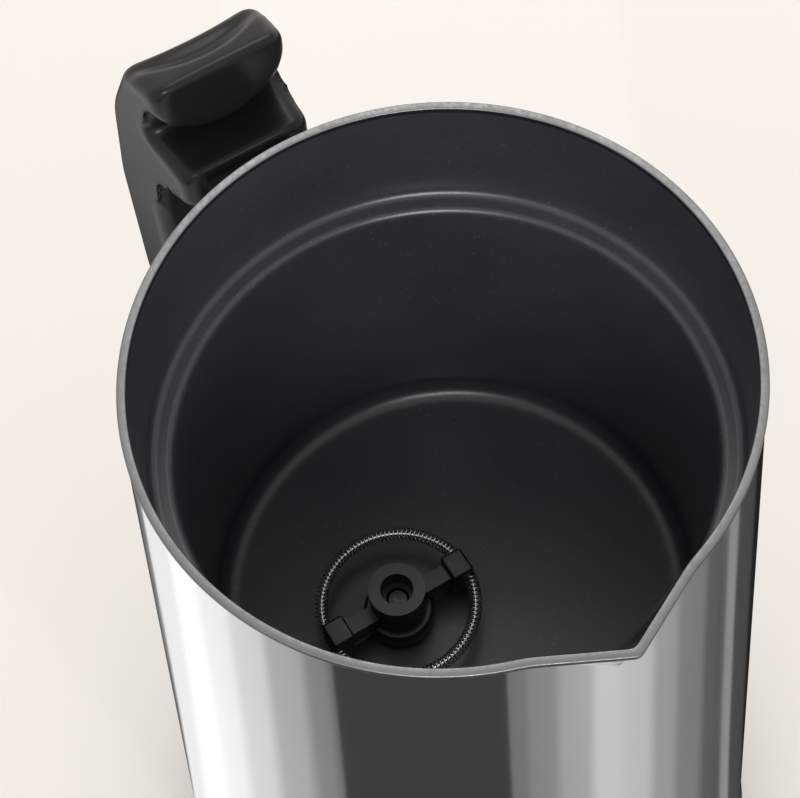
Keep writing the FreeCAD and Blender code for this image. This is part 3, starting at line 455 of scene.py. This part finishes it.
@dataclass
class Lip:
    """The V-shaped pouring lip that the shell, the pot and the rim share."""

    rim_z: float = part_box("inner_pot")[1].z
    rim_radius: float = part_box("inner_pot")[1].y
    reach: float = 5.0 * MM
    half_angle: float = 17.0
    depth: float = 13.0 * MM
    nose_softness: float = 0.3 * MM
    crease_softness: float = 0.12 * MM
    spread: float = 23.0
    shoulder: float = 1.6
    fine_step: float = 0.25
    coarse_step: float = 1.0

    def angles(self) -> list[float]:
        """Angles round the axis in radians, close together at the lip."""
        fine = steps(-self.spread, self.spread, int(2 * self.spread / self.fine_step))
        rest = 360.0 - 2 * self.spread
        coarse = steps(self.spread, self.spread + rest, int(rest / self.coarse_step))
        return [math.radians(a) for a in fine + coarse[1:-1]]

    def wedge(self, angle: float, z: float, inset: float, keel: float) -> float:
        """Radius of the lip's two flat sides at an angle and a height.

        Args:
            angle: angle round the axis in radians.
            z: height.
            inset: distance inside the outer outline.
            keel: radius at which the keel meets the wall.

        Returns:
            The radius, or 0 where the lip doesn't reach.
        """
        share = (z - self.rim_z + self.depth) / self.depth
        half = math.radians(self.half_angle)
        if share <= 0 or abs(angle) > half * self.shoulder:
            return 0.0
        wall = self.rim_radius - inset
        root = Vector((wall * math.cos(half), wall * math.sin(half)))
        rise = self.rim_radius * (1 - math.cos(half)) + self.reach
        side = math.atan2(self.rim_radius * math.sin(half), rise)
        tip = Vector((self.rim_radius + self.reach - inset / math.sin(side), 0.0))
        foot = Vector((keel, 0.0))
        root = foot + (root - foot) * share
        tip = foot + (tip - foot) * share
        along = tip - root
        found = []
        for turn in (angle, -angle):
            cross = math.cos(turn) * along.y - math.sin(turn) * along.x
            found.append((root.x * along.y - root.y * along.x) / cross if abs(cross) > 1e-9 else 1.0)
        near, far = sorted(found)
        soft = self.nose_softness
        return near - soft * math.log(1 + math.exp(-min(40.0, abs(far - near) / soft)))

    def radius(self, wall: float, angle: float, z: float, inset: float, keel: float) -> float:
        """Radius of a wall with the lip pressed out of it."""
        turn = (angle + math.pi) % (2 * math.pi) - math.pi
        lip = self.wedge(turn, z, inset, keel)
        gap = abs(wall - lip)
        soft = self.crease_softness
        if gap > 20 * soft:
            return max(wall, lip)
        return max(wall, lip) + soft * math.log(1 + math.exp(-gap / soft))


LIP = Lip()


def turned(profile: Profile, inset: float, keel: float, closed: bool) -> bmesh.types.BMesh:
    """Turn a profile about the axis with the pouring lip in it.

    Args:
        profile: (radius, z) points; a first or last radius of 0 closes on the axis.
        inset: distance of this wall inside the outer outline, at the lip.
        keel: radius at which the lip's keel meets this wall.
        closed: join the last point to the first.

    Returns:
        The mesh with its normals outwards.
    """
    mesh = bmesh.new()
    angles = LIP.angles()
    rings = []
    for wall, z in profile:
        if wall <= 0:
            rings.append([mesh.verts.new((0, 0, z))])
            continue
        ring = []
        for angle in angles:
            r = LIP.radius(wall, angle, z, inset, keel)
            ring.append(mesh.verts.new((r * math.cos(angle), r * math.sin(angle), z)))
        rings.append(ring)
    pairs = list(zip(rings, rings[1:]))
    if closed:
        pairs.append((rings[-1], rings[0]))
    count = len(angles)
    for low, high in pairs:
        for i in range(count):
            j = (i + 1) % count
            if len(low) == 1:
                mesh.faces.new((low[0], high[j], high[i]))
            elif len(high) == 1:
                mesh.faces.new((low[i], low[j], high[0]))
            else:
                mesh.faces.new((low[i], low[j], high[j], high[i]))
    bmesh.ops.recalc_face_normals(mesh, faces=mesh.faces)
    return mesh


@dataclass
class Jug:
    """Steel shell, non-stick pot and the cut rim between them."""

    flare: float = 0.06
    overhang: float = 0.35 * MM
    wall: float = 0.5 * MM
    foot_round: float = 0.3 * MM
    lip_height: float = 1.0 * MM
    pot_inset: float = 1.4 * MM
    ledge_depth: float = 23.7 * MM
    ledge_width: float = 4.0 * MM
    root_round: float = 1.5 * MM
    edge_round: float = 1.3 * MM
    pot_depth: float = 84.2 * MM
    pot_skin: float = 0.45 * MM
    draft: float = 0.4 * MM
    floor_round: float = 3.5 * MM
    rim_round: float = 0.22 * MM
    lip_rows: int = 36
    window_rows: int = 26

    def shell_radius(self, z: float) -> float:
        """Outside radius of the shell at a height."""
        return LIP.rim_radius - self.overhang + self.flare * (LIP.rim_z - z)

    def build_shell(self) -> bpy.types.Object:
        """Shell as a closed wall with a hole for the button."""
        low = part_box("outer_shell")[0].z
        top = LIP.rim_z - self.lip_height
        keel_z = LIP.rim_z - LIP.depth
        middle = self.window_centre()
        half = self.window_radius() + 2 * MM
        heights = steps(low + self.foot_round, middle - half - MM, 3)
        heights += steps(middle - half, middle + half, self.window_rows)
        heights += steps(middle + half + MM, keel_z - MM, 10) + steps(keel_z, top, self.lip_rows)
        outer = [(self.shell_radius(low) - self.foot_round, low)]
        outer += [(self.shell_radius(z), z) for z in heights]
        inner = [(r - self.wall, z) for r, z in reversed(outer)]
        mesh = turned(outer + inner, self.overhang, self.shell_radius(keel_z), True)
        self._cut_window(mesh)
        obj = add_piece("steel_shell", mesh, 50.0)
        return dressed(obj, "outer_shell", "polished_steel", ["outer_shell"])

    @staticmethod
    def window_centre() -> float:
        """Height of the button's axis."""
        low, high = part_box("button_cap")
        return (low.z + high.z) / 2

    @staticmethod
    def window_radius() -> float:
        """Radius of the button's window, between the light ring and the edge of the bezel."""
        return (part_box("button_light_ring")[1].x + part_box("button_bezel")[1].x) / 2

    def _cut_window(self, mesh: bmesh.types.BMesh) -> None:
        """Cut the button's window through the shell's front and close its edge."""
        middle, reach = self.window_centre(), self.window_radius()
        inside = []
        for face in mesh.faces:
            centre = face.calc_center_median()
            if centre.y < 0 and math.hypot(centre.x, centre.z - middle) < reach:
                inside.append(face)
        bmesh.ops.delete(mesh, geom=inside, context="FACES")
        edge = [e for e in mesh.edges if e.is_boundary]
        bmesh.ops.bridge_loops(mesh, edges=edge)
        bmesh.ops.recalc_face_normals(mesh, faces=mesh.faces)

    def pot_profile(self) -> Profile:
        """Inside of the pot from the middle of the floor to just under the rim."""
        upper = LIP.rim_radius - self.pot_inset
        lower = upper - self.ledge_width
        ledge_z = LIP.rim_z - self.ledge_depth
        floor_z = LIP.rim_z - self.pot_depth
        foot = lower - self.draft
        r = self.floor_round
        profile = [(0.0, floor_z), (foot / 3, floor_z), (foot - r - MM, floor_z)]
        profile += corner_arc((foot - r, floor_z + r), r, -90, 0, 10)
        rise = ledge_z - floor_z - 2 * r
        profile += [(foot + self.draft * s, floor_z + r + rise * s) for s in (0.25, 0.5, 0.75)]
        e = self.edge_round
        profile += corner_arc((lower + e, ledge_z - e), e, 180, 90, 8)
        q = self.root_round
        profile += corner_arc((upper - q, ledge_z + q), q, -90, 0, 8)
        profile += [(upper, z) for z in steps(LIP.rim_z - LIP.depth, LIP.rim_z - 0.1 * MM, self.lip_rows)]
        return profile

    def build_pot(self) -> bpy.types.Object:
        """Coated pot as a closed wall."""
        inside = self.pot_profile()
        skin = self.pot_skin
        outside = [(r + skin, z - skin) if r > 0 else (0.0, z - skin) for r, z in reversed(inside)]
        keel = LIP.rim_radius - self.pot_inset
        obj = add_piece("coated_pot", turned(inside + outside, self.pot_inset, keel, False), 50.0)
        return dressed(obj, "inner_pot", "nonstick", ["inner_pot"])

    def build_rim(self) -> bpy.types.Object:
        """Bright cut edge of the rim, its corners softly broken."""
        out_r = LIP.rim_radius
        in_r = LIP.rim_radius - self.pot_inset
        top = LIP.rim_z
        low = top - self.lip_height
        c = self.rim_round
        profile = [(in_r, low), *corner_arc((in_r + c, top - c), c, 180, 90, 4)]
        profile += corner_arc((out_r - c, top - c), c, 90, 0, 4)
        profile += corner_arc((out_r - c, low + c), c, 0, -90, 4)
        mesh = bmesh.new()
        angles = LIP.angles()
        rings = []
        for r, z in profile:
            inset = out_r - r
            ring = []
            for angle in angles:
                radius = LIP.radius(r, angle, top, inset, in_r)
                ring.append(mesh.verts.new((radius * math.cos(angle), radius * math.sin(angle), z)))
            rings.append(ring)
        count = len(angles)
        for low_ring, high_ring in zip(rings, rings[1:] + rings[:1]):
            for i in range(count):
                j = (i + 1) % count
                mesh.faces.new((low_ring[i], low_ring[j], high_ring[j], high_ring[i]))
        bmesh.ops.recalc_face_normals(mesh, faces=mesh.faces)
        obj = add_piece("cut_rim", mesh, 60.0)
        return dressed(obj, "inner_pot", "zinc_steel", [], CUT_STEEL.make())

    def build(self) -> None:
        """Build the jug's turned pieces."""
        self.build_shell()
        self.build_pot()
        self.build_rim()


def bake_modifiers(obj: bpy.types.Object) -> None:
    """Turn the evaluated result into the object's own mesh and drop the modifiers."""
    graph = bpy.context.evaluated_depsgraph_get()
    old = obj.data
    obj.data = bpy.data.meshes.new_from_object(obj.evaluated_get(graph))
    obj.modifiers.clear()
    bpy.data.meshes.remove(old)


# ---- whisk -------------------------------------------------------------------------------------


class GeometryTree:
    """A Geometry Nodes tree written in Python."""

    def __init__(self, name: str, inputs: dict[str, str]) -> None:
        """Start a tree.

        Args:
            name: name of the tree.
            inputs: input names with their socket types.
        """
        self.tree = bpy.data.node_groups.new(name, "GeometryNodeTree")
        self.names: dict[str, str] = {}
        for label, kind in inputs.items():
            socket = self.tree.interface.new_socket(label, in_out="INPUT", socket_type=kind)
            self.names[label] = socket.identifier
        self.tree.interface.new_socket("Geometry", in_out="OUTPUT", socket_type="NodeSocketGeometry")
        self.source = self.tree.nodes.new("NodeGroupInput")

    def given(self, label: str) -> bpy.types.NodeSocket:
        """Socket of a named input."""
        return self.source.outputs[label]

    def node(self, kind: str, settings: dict, inputs: dict, output: object = 0) -> bpy.types.NodeSocket:
        """Add a node, set or link its inputs, and return one output."""
        made = self.tree.nodes.new(kind)
        for key, value in settings.items():
            setattr(made, key, value)
        for key, value in inputs.items():
            if isinstance(value, bpy.types.NodeSocket):
                self.tree.links.new(value, made.inputs[key])
            else:
                made.inputs[key].default_value = value
        return made.outputs[output]

    def maths(self, operation: str, first: object, second: object = 0.0) -> bpy.types.NodeSocket:
        """Add a Math node."""
        inputs = {0: first} if operation in ("SINE", "COSINE") else {0: first, 1: second}
        return self.node("ShaderNodeMath", {"operation": operation}, inputs)

    def apply(self, name: str, values: dict[str, object]) -> bpy.types.Object:
        """Run the tree on an empty mesh and keep the result as a plain object.

        Args:
            name: name of the piece.
            values: a value for each named input.

        Returns:
            The object, with no modifier left.
        """
        obj = bpy.data.objects.new(name, bpy.data.meshes.new(name))
        bpy.context.scene.collection.objects.link(obj)
        modifier = obj.modifiers.new(name, "NODES")
        modifier.node_group = self.tree
        for label, value in values.items():
            modifier[self.names[label]] = value
        bake_modifiers(obj)
        return obj


def ring_coil_tree() -> GeometryTree:
    """Tree of a wire wound round a ring: an endless helix with a round section."""
    tree = GeometryTree("ring_coil", {
        "Ring Radius": "NodeSocketFloat", "Coil Radius": "NodeSocketFloat", "Wire Radius": "NodeSocketFloat",
        "Turns": "NodeSocketInt", "Points": "NodeSocketInt", "Sides": "NodeSocketInt",
        "Tilt": "NodeSocketFloat", "Centre": "NodeSocketVector", "Material": "NodeSocketMaterial"})
    total = tree.maths("MULTIPLY", tree.given("Turns"), tree.given("Points"))
    line = tree.node("GeometryNodeMeshLine", {}, {"Count": total}, "Mesh")
    index = tree.node("GeometryNodeInputIndex", {}, {})
    round_ring = tree.maths("MULTIPLY", tree.maths("DIVIDE", index, total), 2 * math.pi)
    round_wire = tree.maths("MULTIPLY", tree.maths("DIVIDE", index, tree.given("Points")), 2 * math.pi)
    out = tree.maths("MULTIPLY", tree.maths("COSINE", round_wire), tree.given("Coil Radius"))
    reach = tree.maths("ADD", tree.given("Ring Radius"), out)
    up = tree.maths("MULTIPLY", tree.maths("SINE", round_wire), tree.given("Coil Radius"))
    lean = tree.maths("MULTIPLY", tree.maths("SINE", round_wire), tree.given("Tilt"))
    turn = tree.maths("ADD", round_ring, lean)
    x = tree.maths("MULTIPLY", tree.maths("COSINE", turn), reach)
    y = tree.maths("MULTIPLY", tree.maths("SINE", turn), reach)
    place = tree.node("ShaderNodeCombineXYZ", {}, {0: x, 1: y, 2: up})
    place = tree.node("ShaderNodeVectorMath", {"operation": "ADD"}, {0: place, 1: tree.given("Centre")})
    moved = tree.node("GeometryNodeSetPosition", {}, {"Geometry": line, "Position": place})
    curve = tree.node("GeometryNodeMeshToCurve", {}, {"Mesh": moved})
    curve = tree.node("GeometryNodeSetSplineCyclic", {}, {"Geometry": curve, "Cyclic": True})
    section = tree.node("GeometryNodeCurvePrimitiveCircle", {},
                        {"Resolution": tree.given("Sides"), "Radius": tree.given("Wire Radius")})
    wire = tree.node("GeometryNodeCurveToMesh", {}, {"Curve": curve, "Profile Curve": section})
    wire = tree.node("GeometryNodeSetShadeSmooth", {}, {"Geometry": wire})
    wire = tree.node("GeometryNodeRealizeInstances", {}, {"Geometry": wire})
    wire = tree.node("GeometryNodeSetMaterial", {}, {"Geometry": wire, "Material": tree.given("Material")})
    end = tree.tree.nodes.new("NodeGroupOutput")
    tree.tree.links.new(wire, end.inputs[0])
    return tree


@dataclass
class Whisk:
    """Coil whisk: black hub with two arms, a wound wire ring and its core."""

    wire_radius: float = 0.15 * MM
    turns: int = 112
    points: int = 12
    sides: int = 6
    tilt: float = 0.02

    def build(self) -> None:
        """Build the coil and dress the hub."""
        low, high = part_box("whisk_coil")
        coil_radius = (high.z - low.z) / 2 - self.wire_radius
        ring_radius = (high.x - low.x) / 2 - coil_radius - self.wire_radius
        wire = WARDROBE.get("spring_steel")
        sizes = {"Ring Radius": ring_radius, "Coil Radius": coil_radius, "Wire Radius": self.wire_radius,
                 "Turns": self.turns, "Points": self.points, "Sides": self.sides, "Tilt": self.tilt,
                 "Centre": (low + high) / 2, "Material": wire}
        coil = ring_coil_tree().apply("coil_wire", sizes)
        dressed(coil, "whisk_coil", "spring_steel", ["whisk_coil"])
        for node in ("whisk_hub", "whisk_core_ring"):
            refined(node)
        refined("whisk_pin").data.materials[0] = PIN_STEEL.make()


@dataclass
class Handle:
    """Handle: one moulded form with a thumb rest, a grip and an arm to the jug."""

    front_width: float = 12.5
    back_spread: float = 0.05
    front_line: float = 69.2
    side_round: float = 2.6
    side_share: float = 0.74
    slices: int = 28
    corner_points: int = 9
    foot_radius: float = 56.9
    voxel: float = 0.55 * MM
    smoothings: int = 6
    nodes: tuple[str, ...] = ("handle_upper_bracket", "handle_lower_bracket", "handle_screws")

    def half_width(self, reach: float) -> float:
        """Half width at a distance from the jug's axis, in millimetres."""
        return self.front_width + (reach - self.front_line) * self.back_spread

    def corners(self, side: float) -> list[tuple[float, float, float]]:
        """Side outline at a share of the half width.

        Args:
            side: 0 in the middle plane, 1 at the sides.

        Returns:
            (distance from the jug's axis, height from the rim, rounding) in millimetres, clockwise.
        """
        q = side * side
        face_drop = 19.5 - 8.0 * q
        lip = (73.0 + 5.6 * q, -5.8 - 2.8 * q)
        rear = (80.2 + 2.2 * q, -9.6 - 1.6 * q)
        valley = ((lip[0] + rear[0]) / 2, (lip[1] + rear[1]) / 2 - 2.0 * (1 - q))
        foot = math.sqrt(self.foot_radius ** 2 - (self.front_width * side) ** 2)
        return [
            (self.front_line, -4.3, 1.3), (*lip, 0.9), (*valley, 3.0), (*rear, 3.5),
            (90.6, -28.5, 34.0), (95.2, -54.0, 40.0), (95.4, -98.0, 46.0), (68.3, -142.0, 18.0),
            (foot, -146.0, 1.0), (foot - 1.2, -126.0, 1.0), (66.0, -124.0, 9.0),
            (79.4, -92.0, 28.0), (79.4, -52.0, 18.0), (76.5, -37.5, 11.0),
            (63.6, -31.5, 1.2), (63.6, -22.0, 1.2), (76.8, -23.4, 4.0),
            (74.2, -face_drop - 2.6, 2.0), (69.5, -face_drop, 1.0)]

    @staticmethod
    def drawn_in(corners: list[tuple[float, float, float]], inset: float) -> list[tuple[float, float, float]]:
        """Move every edge of an outline inwards by the same distance and ease the rounding.

        Args:
            corners: (distance, height, rounding), clockwise.
            inset: how far inwards.

        Returns:
            The corners of the smaller outline.
        """
        moved = []
        count = len(corners)
        for i, (u, z, rounding) in enumerate(corners):
            here = Vector((u, z))
            ahead = (Vector(corners[(i + 1) % count][:2]) - here).normalized()
            behind = (here - Vector(corners[i - 1][:2])).normalized()
            inwards = Vector((behind.y + ahead.y, -behind.x - ahead.x))
            share = max(0.35, 1 + behind.dot(ahead))
            place = here + inwards * (inset / share)
            moved.append((place.x, place.y, max(0.8, rounding)))
        return moved

    def outline(self, side: float, inset: float) -> list[tuple[float, float]]:
        """Outline with its corners rounded.

        Args:
            side: share of the half width.
            inset: how far the outline is drawn in.

        Returns:
            (distance, height) points in millimetres.
        """
        corners = self.drawn_in(self.corners(side), inset)
        count = len(corners)
        points = []
        for i, (u, z, rounding) in enumerate(corners):
            here = Vector((u, z))
            back = Vector(corners[i - 1][:2]) - here
            ahead = Vector(corners[(i + 1) % count][:2]) - here
            half = max(0.05, back.angle(ahead) / 2)
            reach = min(rounding / math.tan(half), 0.46 * back.length, 0.46 * ahead.length)
            start = here + back.normalized() * reach
            end = here + ahead.normalized() * reach
            for step in steps(0.0, 1.0, self.corner_points - 1):
                place = start.lerp(here, step).lerp(here.lerp(end, step), step)
                points.append((place.x, place.y))
        return points

    def build_form(self) -> bmesh.types.BMesh:
        """Whole handle as a stack of outlines across its width, drawn in towards the sides."""
        mesh = bmesh.new()
        rows = []
        for turn in steps(-math.pi / 2, math.pi / 2, self.slices):
            side = math.sin(turn)
            share = abs(side)
            edge = max(0.0, (share - self.side_share) / (1 - self.side_share))
            inset = self.side_round * (1 - math.sqrt(max(0.0, 1 - edge * edge)))
            row = []
            for u, z in self.outline(share, inset):
                place = (-u * MM, side * self.half_width(u) * MM, LIP.rim_z + z * MM)
                row.append(mesh.verts.new(place))
            rows.append(row)
        for low, high in zip(rows, rows[1:]):
            for i in range(len(low)):
                j = (i + 1) % len(low)
                mesh.faces.new((low[i], low[j], high[j], high[i]))
        caps = [mesh.faces.new(row) for row in (rows[0], rows[-1])]
        bmesh.ops.triangulate(mesh, faces=caps)
        bmesh.ops.recalc_face_normals(mesh, faces=mesh.faces)
        return self.evened(mesh)

    def evened(self, mesh: bmesh.types.BMesh) -> bmesh.types.BMesh:
        """Rebuild the form on an even grid and soften its edges, as moulding does."""
        rough = add_piece("handle_rough", mesh)
        grid = rough.modifiers.new("grid", "REMESH")
        grid.mode = "VOXEL"
        grid.voxel_size = self.voxel
        soft = rough.modifiers.new("soft", "SMOOTH")
        soft.factor = 0.5
        soft.iterations = self.smoothings
        bake_modifiers(rough)
        even = bmesh.new()
        even.from_mesh(rough.data)
        bpy.data.objects.remove(rough)
        return even

    def build(self) -> None:
        """Build the handle's pieces."""
        form = add_piece("handle_form", self.build_form(), 50.0)
        dressed(form, "handle_shell", "black_gloss", ["handle_shell", "thumb_rest", "handle_inner_cover"])
        for node in self.nodes:
            refined(node)


@dataclass
class Button:
    """Start button with its bezel and light ring."""

    nodes: tuple[str, ...] = ("button_cap", "button_bezel", "button_light_ring")

    def build(self) -> None:
        """Dress the button's pieces."""
        for node in self.nodes:
            refined(node)


@dataclass
class Base:
    """Power base and the jug's bottom, with their connectors."""

    nodes: tuple[str, ...] = (
        "base_housing", "base_bottom_plate", "base_feet", "base_screws", "base_connector", "base_contacts",
        "cord_gland", "bottom_cover", "bottom_screws", "jug_connector", "jug_contacts")

    def build(self) -> None:
        """Dress the base's pieces."""
        for node in self.nodes:
            refined(node)


# ---- studio ----------------------------------------------------------------------------------------


@dataclass
class Studio:
    """Pale floor, soft lights, reflector cards and the camera."""

    floor_colour: Triple = (0.97, 0.92, 0.875)
    floor_size: float = 6.0
    distance: float = 0.3417
    elevation: float = 61.38
    azimuth: float = -28.0
    roll: float = 3.751
    yaw: float = 1.007
    pitch: float = -0.702
    lens: float = 104.6
    world_strength: float = 0.84
    world_colour: Triple = (1.0, 0.985, 0.965)
    aim: Triple = (0.0, 0.0, 0.15)
    key_place: Triple = (-0.9, 0.5, 1.3)
    key_size: float = 0.7
    key_power: float = 5.5
    front_place: Triple = (0.95, -0.5, 1.1)
    front_size: float = 0.5
    front_power: float = 12.0
    card_height: float = 1.0 * MM
    card_gap: float = 6.0 * MM
    card_near: float = 12.0 * MM
    card_reach: float = 0.45
    bands: list[tuple[float, float]] = field(default_factory=lambda: [
        (-90, 0.02), (-78, 0.10), (-72, 0.9), (-60, 1.20), (-52, 1.05), (-44, 0.80), (-36, 0.50),
        (-28, 0.28), (-23.8, 0.20), (-23.0, 0.056), (7.4, 0.056), (8.2, 0.20), (12, 0.27), (18, 0.42),
        (25, 0.66), (31, 0.60), (38, 0.38), (44, 0.24), (52, 0.12), (56, 0.10), (59, 0.28), (61, 0.30),
        (63, 0.07), (71, 0.06), (73, 0.015), (90, 0.01)])

    def build_camera(self) -> None:
        """Place the camera on the jug's rim, at its measured angle."""
        target = Vector((0, 0, LIP.rim_z))
        el, az = math.radians(self.elevation), math.radians(self.azimuth)
        outward = Vector((math.cos(el) * math.cos(az), math.cos(el) * math.sin(az), math.sin(el)))
        ahead = -outward
        right = Vector((-math.sin(az), math.cos(az), 0))
        up = right.cross(ahead)
        turn = Matrix.Rotation(math.radians(self.roll), 3, ahead)
        right, up = turn @ right, turn @ up
        turn = Matrix.Rotation(math.radians(self.yaw), 3, up)
        right, ahead = turn @ right, turn @ ahead
        turn = Matrix.Rotation(math.radians(self.pitch), 3, right)
        up, ahead = turn @ up, turn @ ahead
        data = bpy.data.cameras.new("camera")
        data.lens = self.lens
        data.sensor_width = 36.0
        data.clip_start = 0.01
        camera = bpy.data.objects.new("camera", data)
        bpy.context.scene.collection.objects.link(camera)
        place = Matrix((right, up, -ahead)).transposed().to_4x4()
        place.translation = target + outward * self.distance
        camera.matrix_world = place
        bpy.context.scene.camera = camera

    def build_floor(self) -> None:
        """Large pale floor."""
        mesh = bmesh.new()
        bmesh.ops.create_grid(mesh, x_segments=2, y_segments=2, size=self.floor_size / 2)
        floor = add_piece("floor", mesh)
        paint = Paint("pale_floor")
        soft = paint.window(paint.noise(3.0), 0.3, 0.7, 0.55, 0.65)
        floor.data.materials.append(paint.done(Base_Color=rgba(self.floor_colour), Roughness=soft))

    def build_cards(self) -> None:
        """Fan of light and dark cards on the floor, seen only in the steel's reflections."""
        mesh = bmesh.new()
        glow = mesh.verts.layers.float.new("glow")
        facing = math.radians(self.azimuth)
        start = LIP.rim_radius + self.card_gap
        rows = []
        for angle, level in self.bands:
            a = facing + math.radians(angle)
            b = facing + math.radians(2 * angle)
            wall = Vector((math.cos(a), math.sin(a), 0)) * start
            along = Vector((math.cos(b), math.sin(b), 0))
            row = []
            for distance in (self.card_near, self.card_reach):
                vert = mesh.verts.new(wall + along * distance + Vector((0, 0, self.card_height)))
                vert[glow] = level
                row.append(vert)
            rows.append(row)
        for first, second in zip(rows, rows[1:]):
            mesh.faces.new((first[0], second[0], second[1], first[1]))
        card = add_piece("reflector_cards", mesh)
        material = bpy.data.materials.new("card_glow")
        material.use_nodes = True
        nodes, links = material.node_tree.nodes, material.node_tree.links
        nodes.remove(next(n for n in nodes if n.type == "BSDF_PRINCIPLED"))
        level = nodes.new("ShaderNodeAttribute")
        level.attribute_name = "glow"
        light = nodes.new("ShaderNodeEmission")
        links.new(level.outputs["Fac"], light.inputs["Strength"])
        links.new(light.outputs[0], next(n for n in nodes if n.type == "OUTPUT_MATERIAL").inputs[0])
        card.data.materials.append(material)
        for ray in ("camera", "diffuse", "shadow", "transmission", "volume_scatter"):
            setattr(card, "visible_" + ray, False)

    def add_light(self, name: str, place: Triple, size: float, power: float) -> bpy.types.Object:
        """Add a soft area light that looks at the jug's rim.

        Args:
            name: name of the light.
            place: where it hangs.
            size: its width.
            power: its power in watts.

        Returns:
            The light.
        """
        data = bpy.data.lights.new(name, "AREA")
        data.shape = "RECTANGLE"
        data.size = size
        data.size_y = size
        data.energy = power
        lamp = bpy.data.objects.new(name, data)
        bpy.context.scene.collection.objects.link(lamp)
        lamp.location = place
        lamp.rotation_mode = "QUATERNION"
        lamp.rotation_quaternion = (Vector(self.aim) - Vector(place)).to_track_quat("-Z", "Y")
        return lamp

    def build_lights(self) -> None:
        """Even world light and two soft boxes; the front one lights the jug but not the floor."""
        world = bpy.data.worlds.new("studio")
        world.use_nodes = True
        back = next(n for n in world.node_tree.nodes if n.type == "BACKGROUND")
        back.inputs["Color"].default_value = rgba(self.world_colour)
        back.inputs["Strength"].default_value = self.world_strength
        bpy.context.scene.world = world
        self.add_light("key", self.key_place, self.key_size, self.key_power)
        front = self.add_light("front", self.front_place, self.front_size, self.front_power)
        unlit = bpy.data.collections.new("unlit_by_front")
        unlit.objects.link(bpy.data.objects["floor"])
        unlit.collection_objects[0].light_linking.link_state = "EXCLUDE"
        front.light_linking.receiver_collection = unlit

    def build(self) -> None:
        """Build the studio."""
        self.build_camera()
        self.build_floor()
        self.build_cards()
        self.build_lights()
        bpy.context.scene.view_settings.view_transform = "Standard"


def main() -> None:
    """Build the sub-assemblies in order."""
    logging.basicConfig(level=logging.INFO)
    WARDROBE.dress_cad()
    for part in (Jug(), Whisk(), Handle(), Button(), Base(), Studio()):
        LOG.info("building %s", type(part).__name__)
        part.build()


if __name__ == "__main__":
    main()
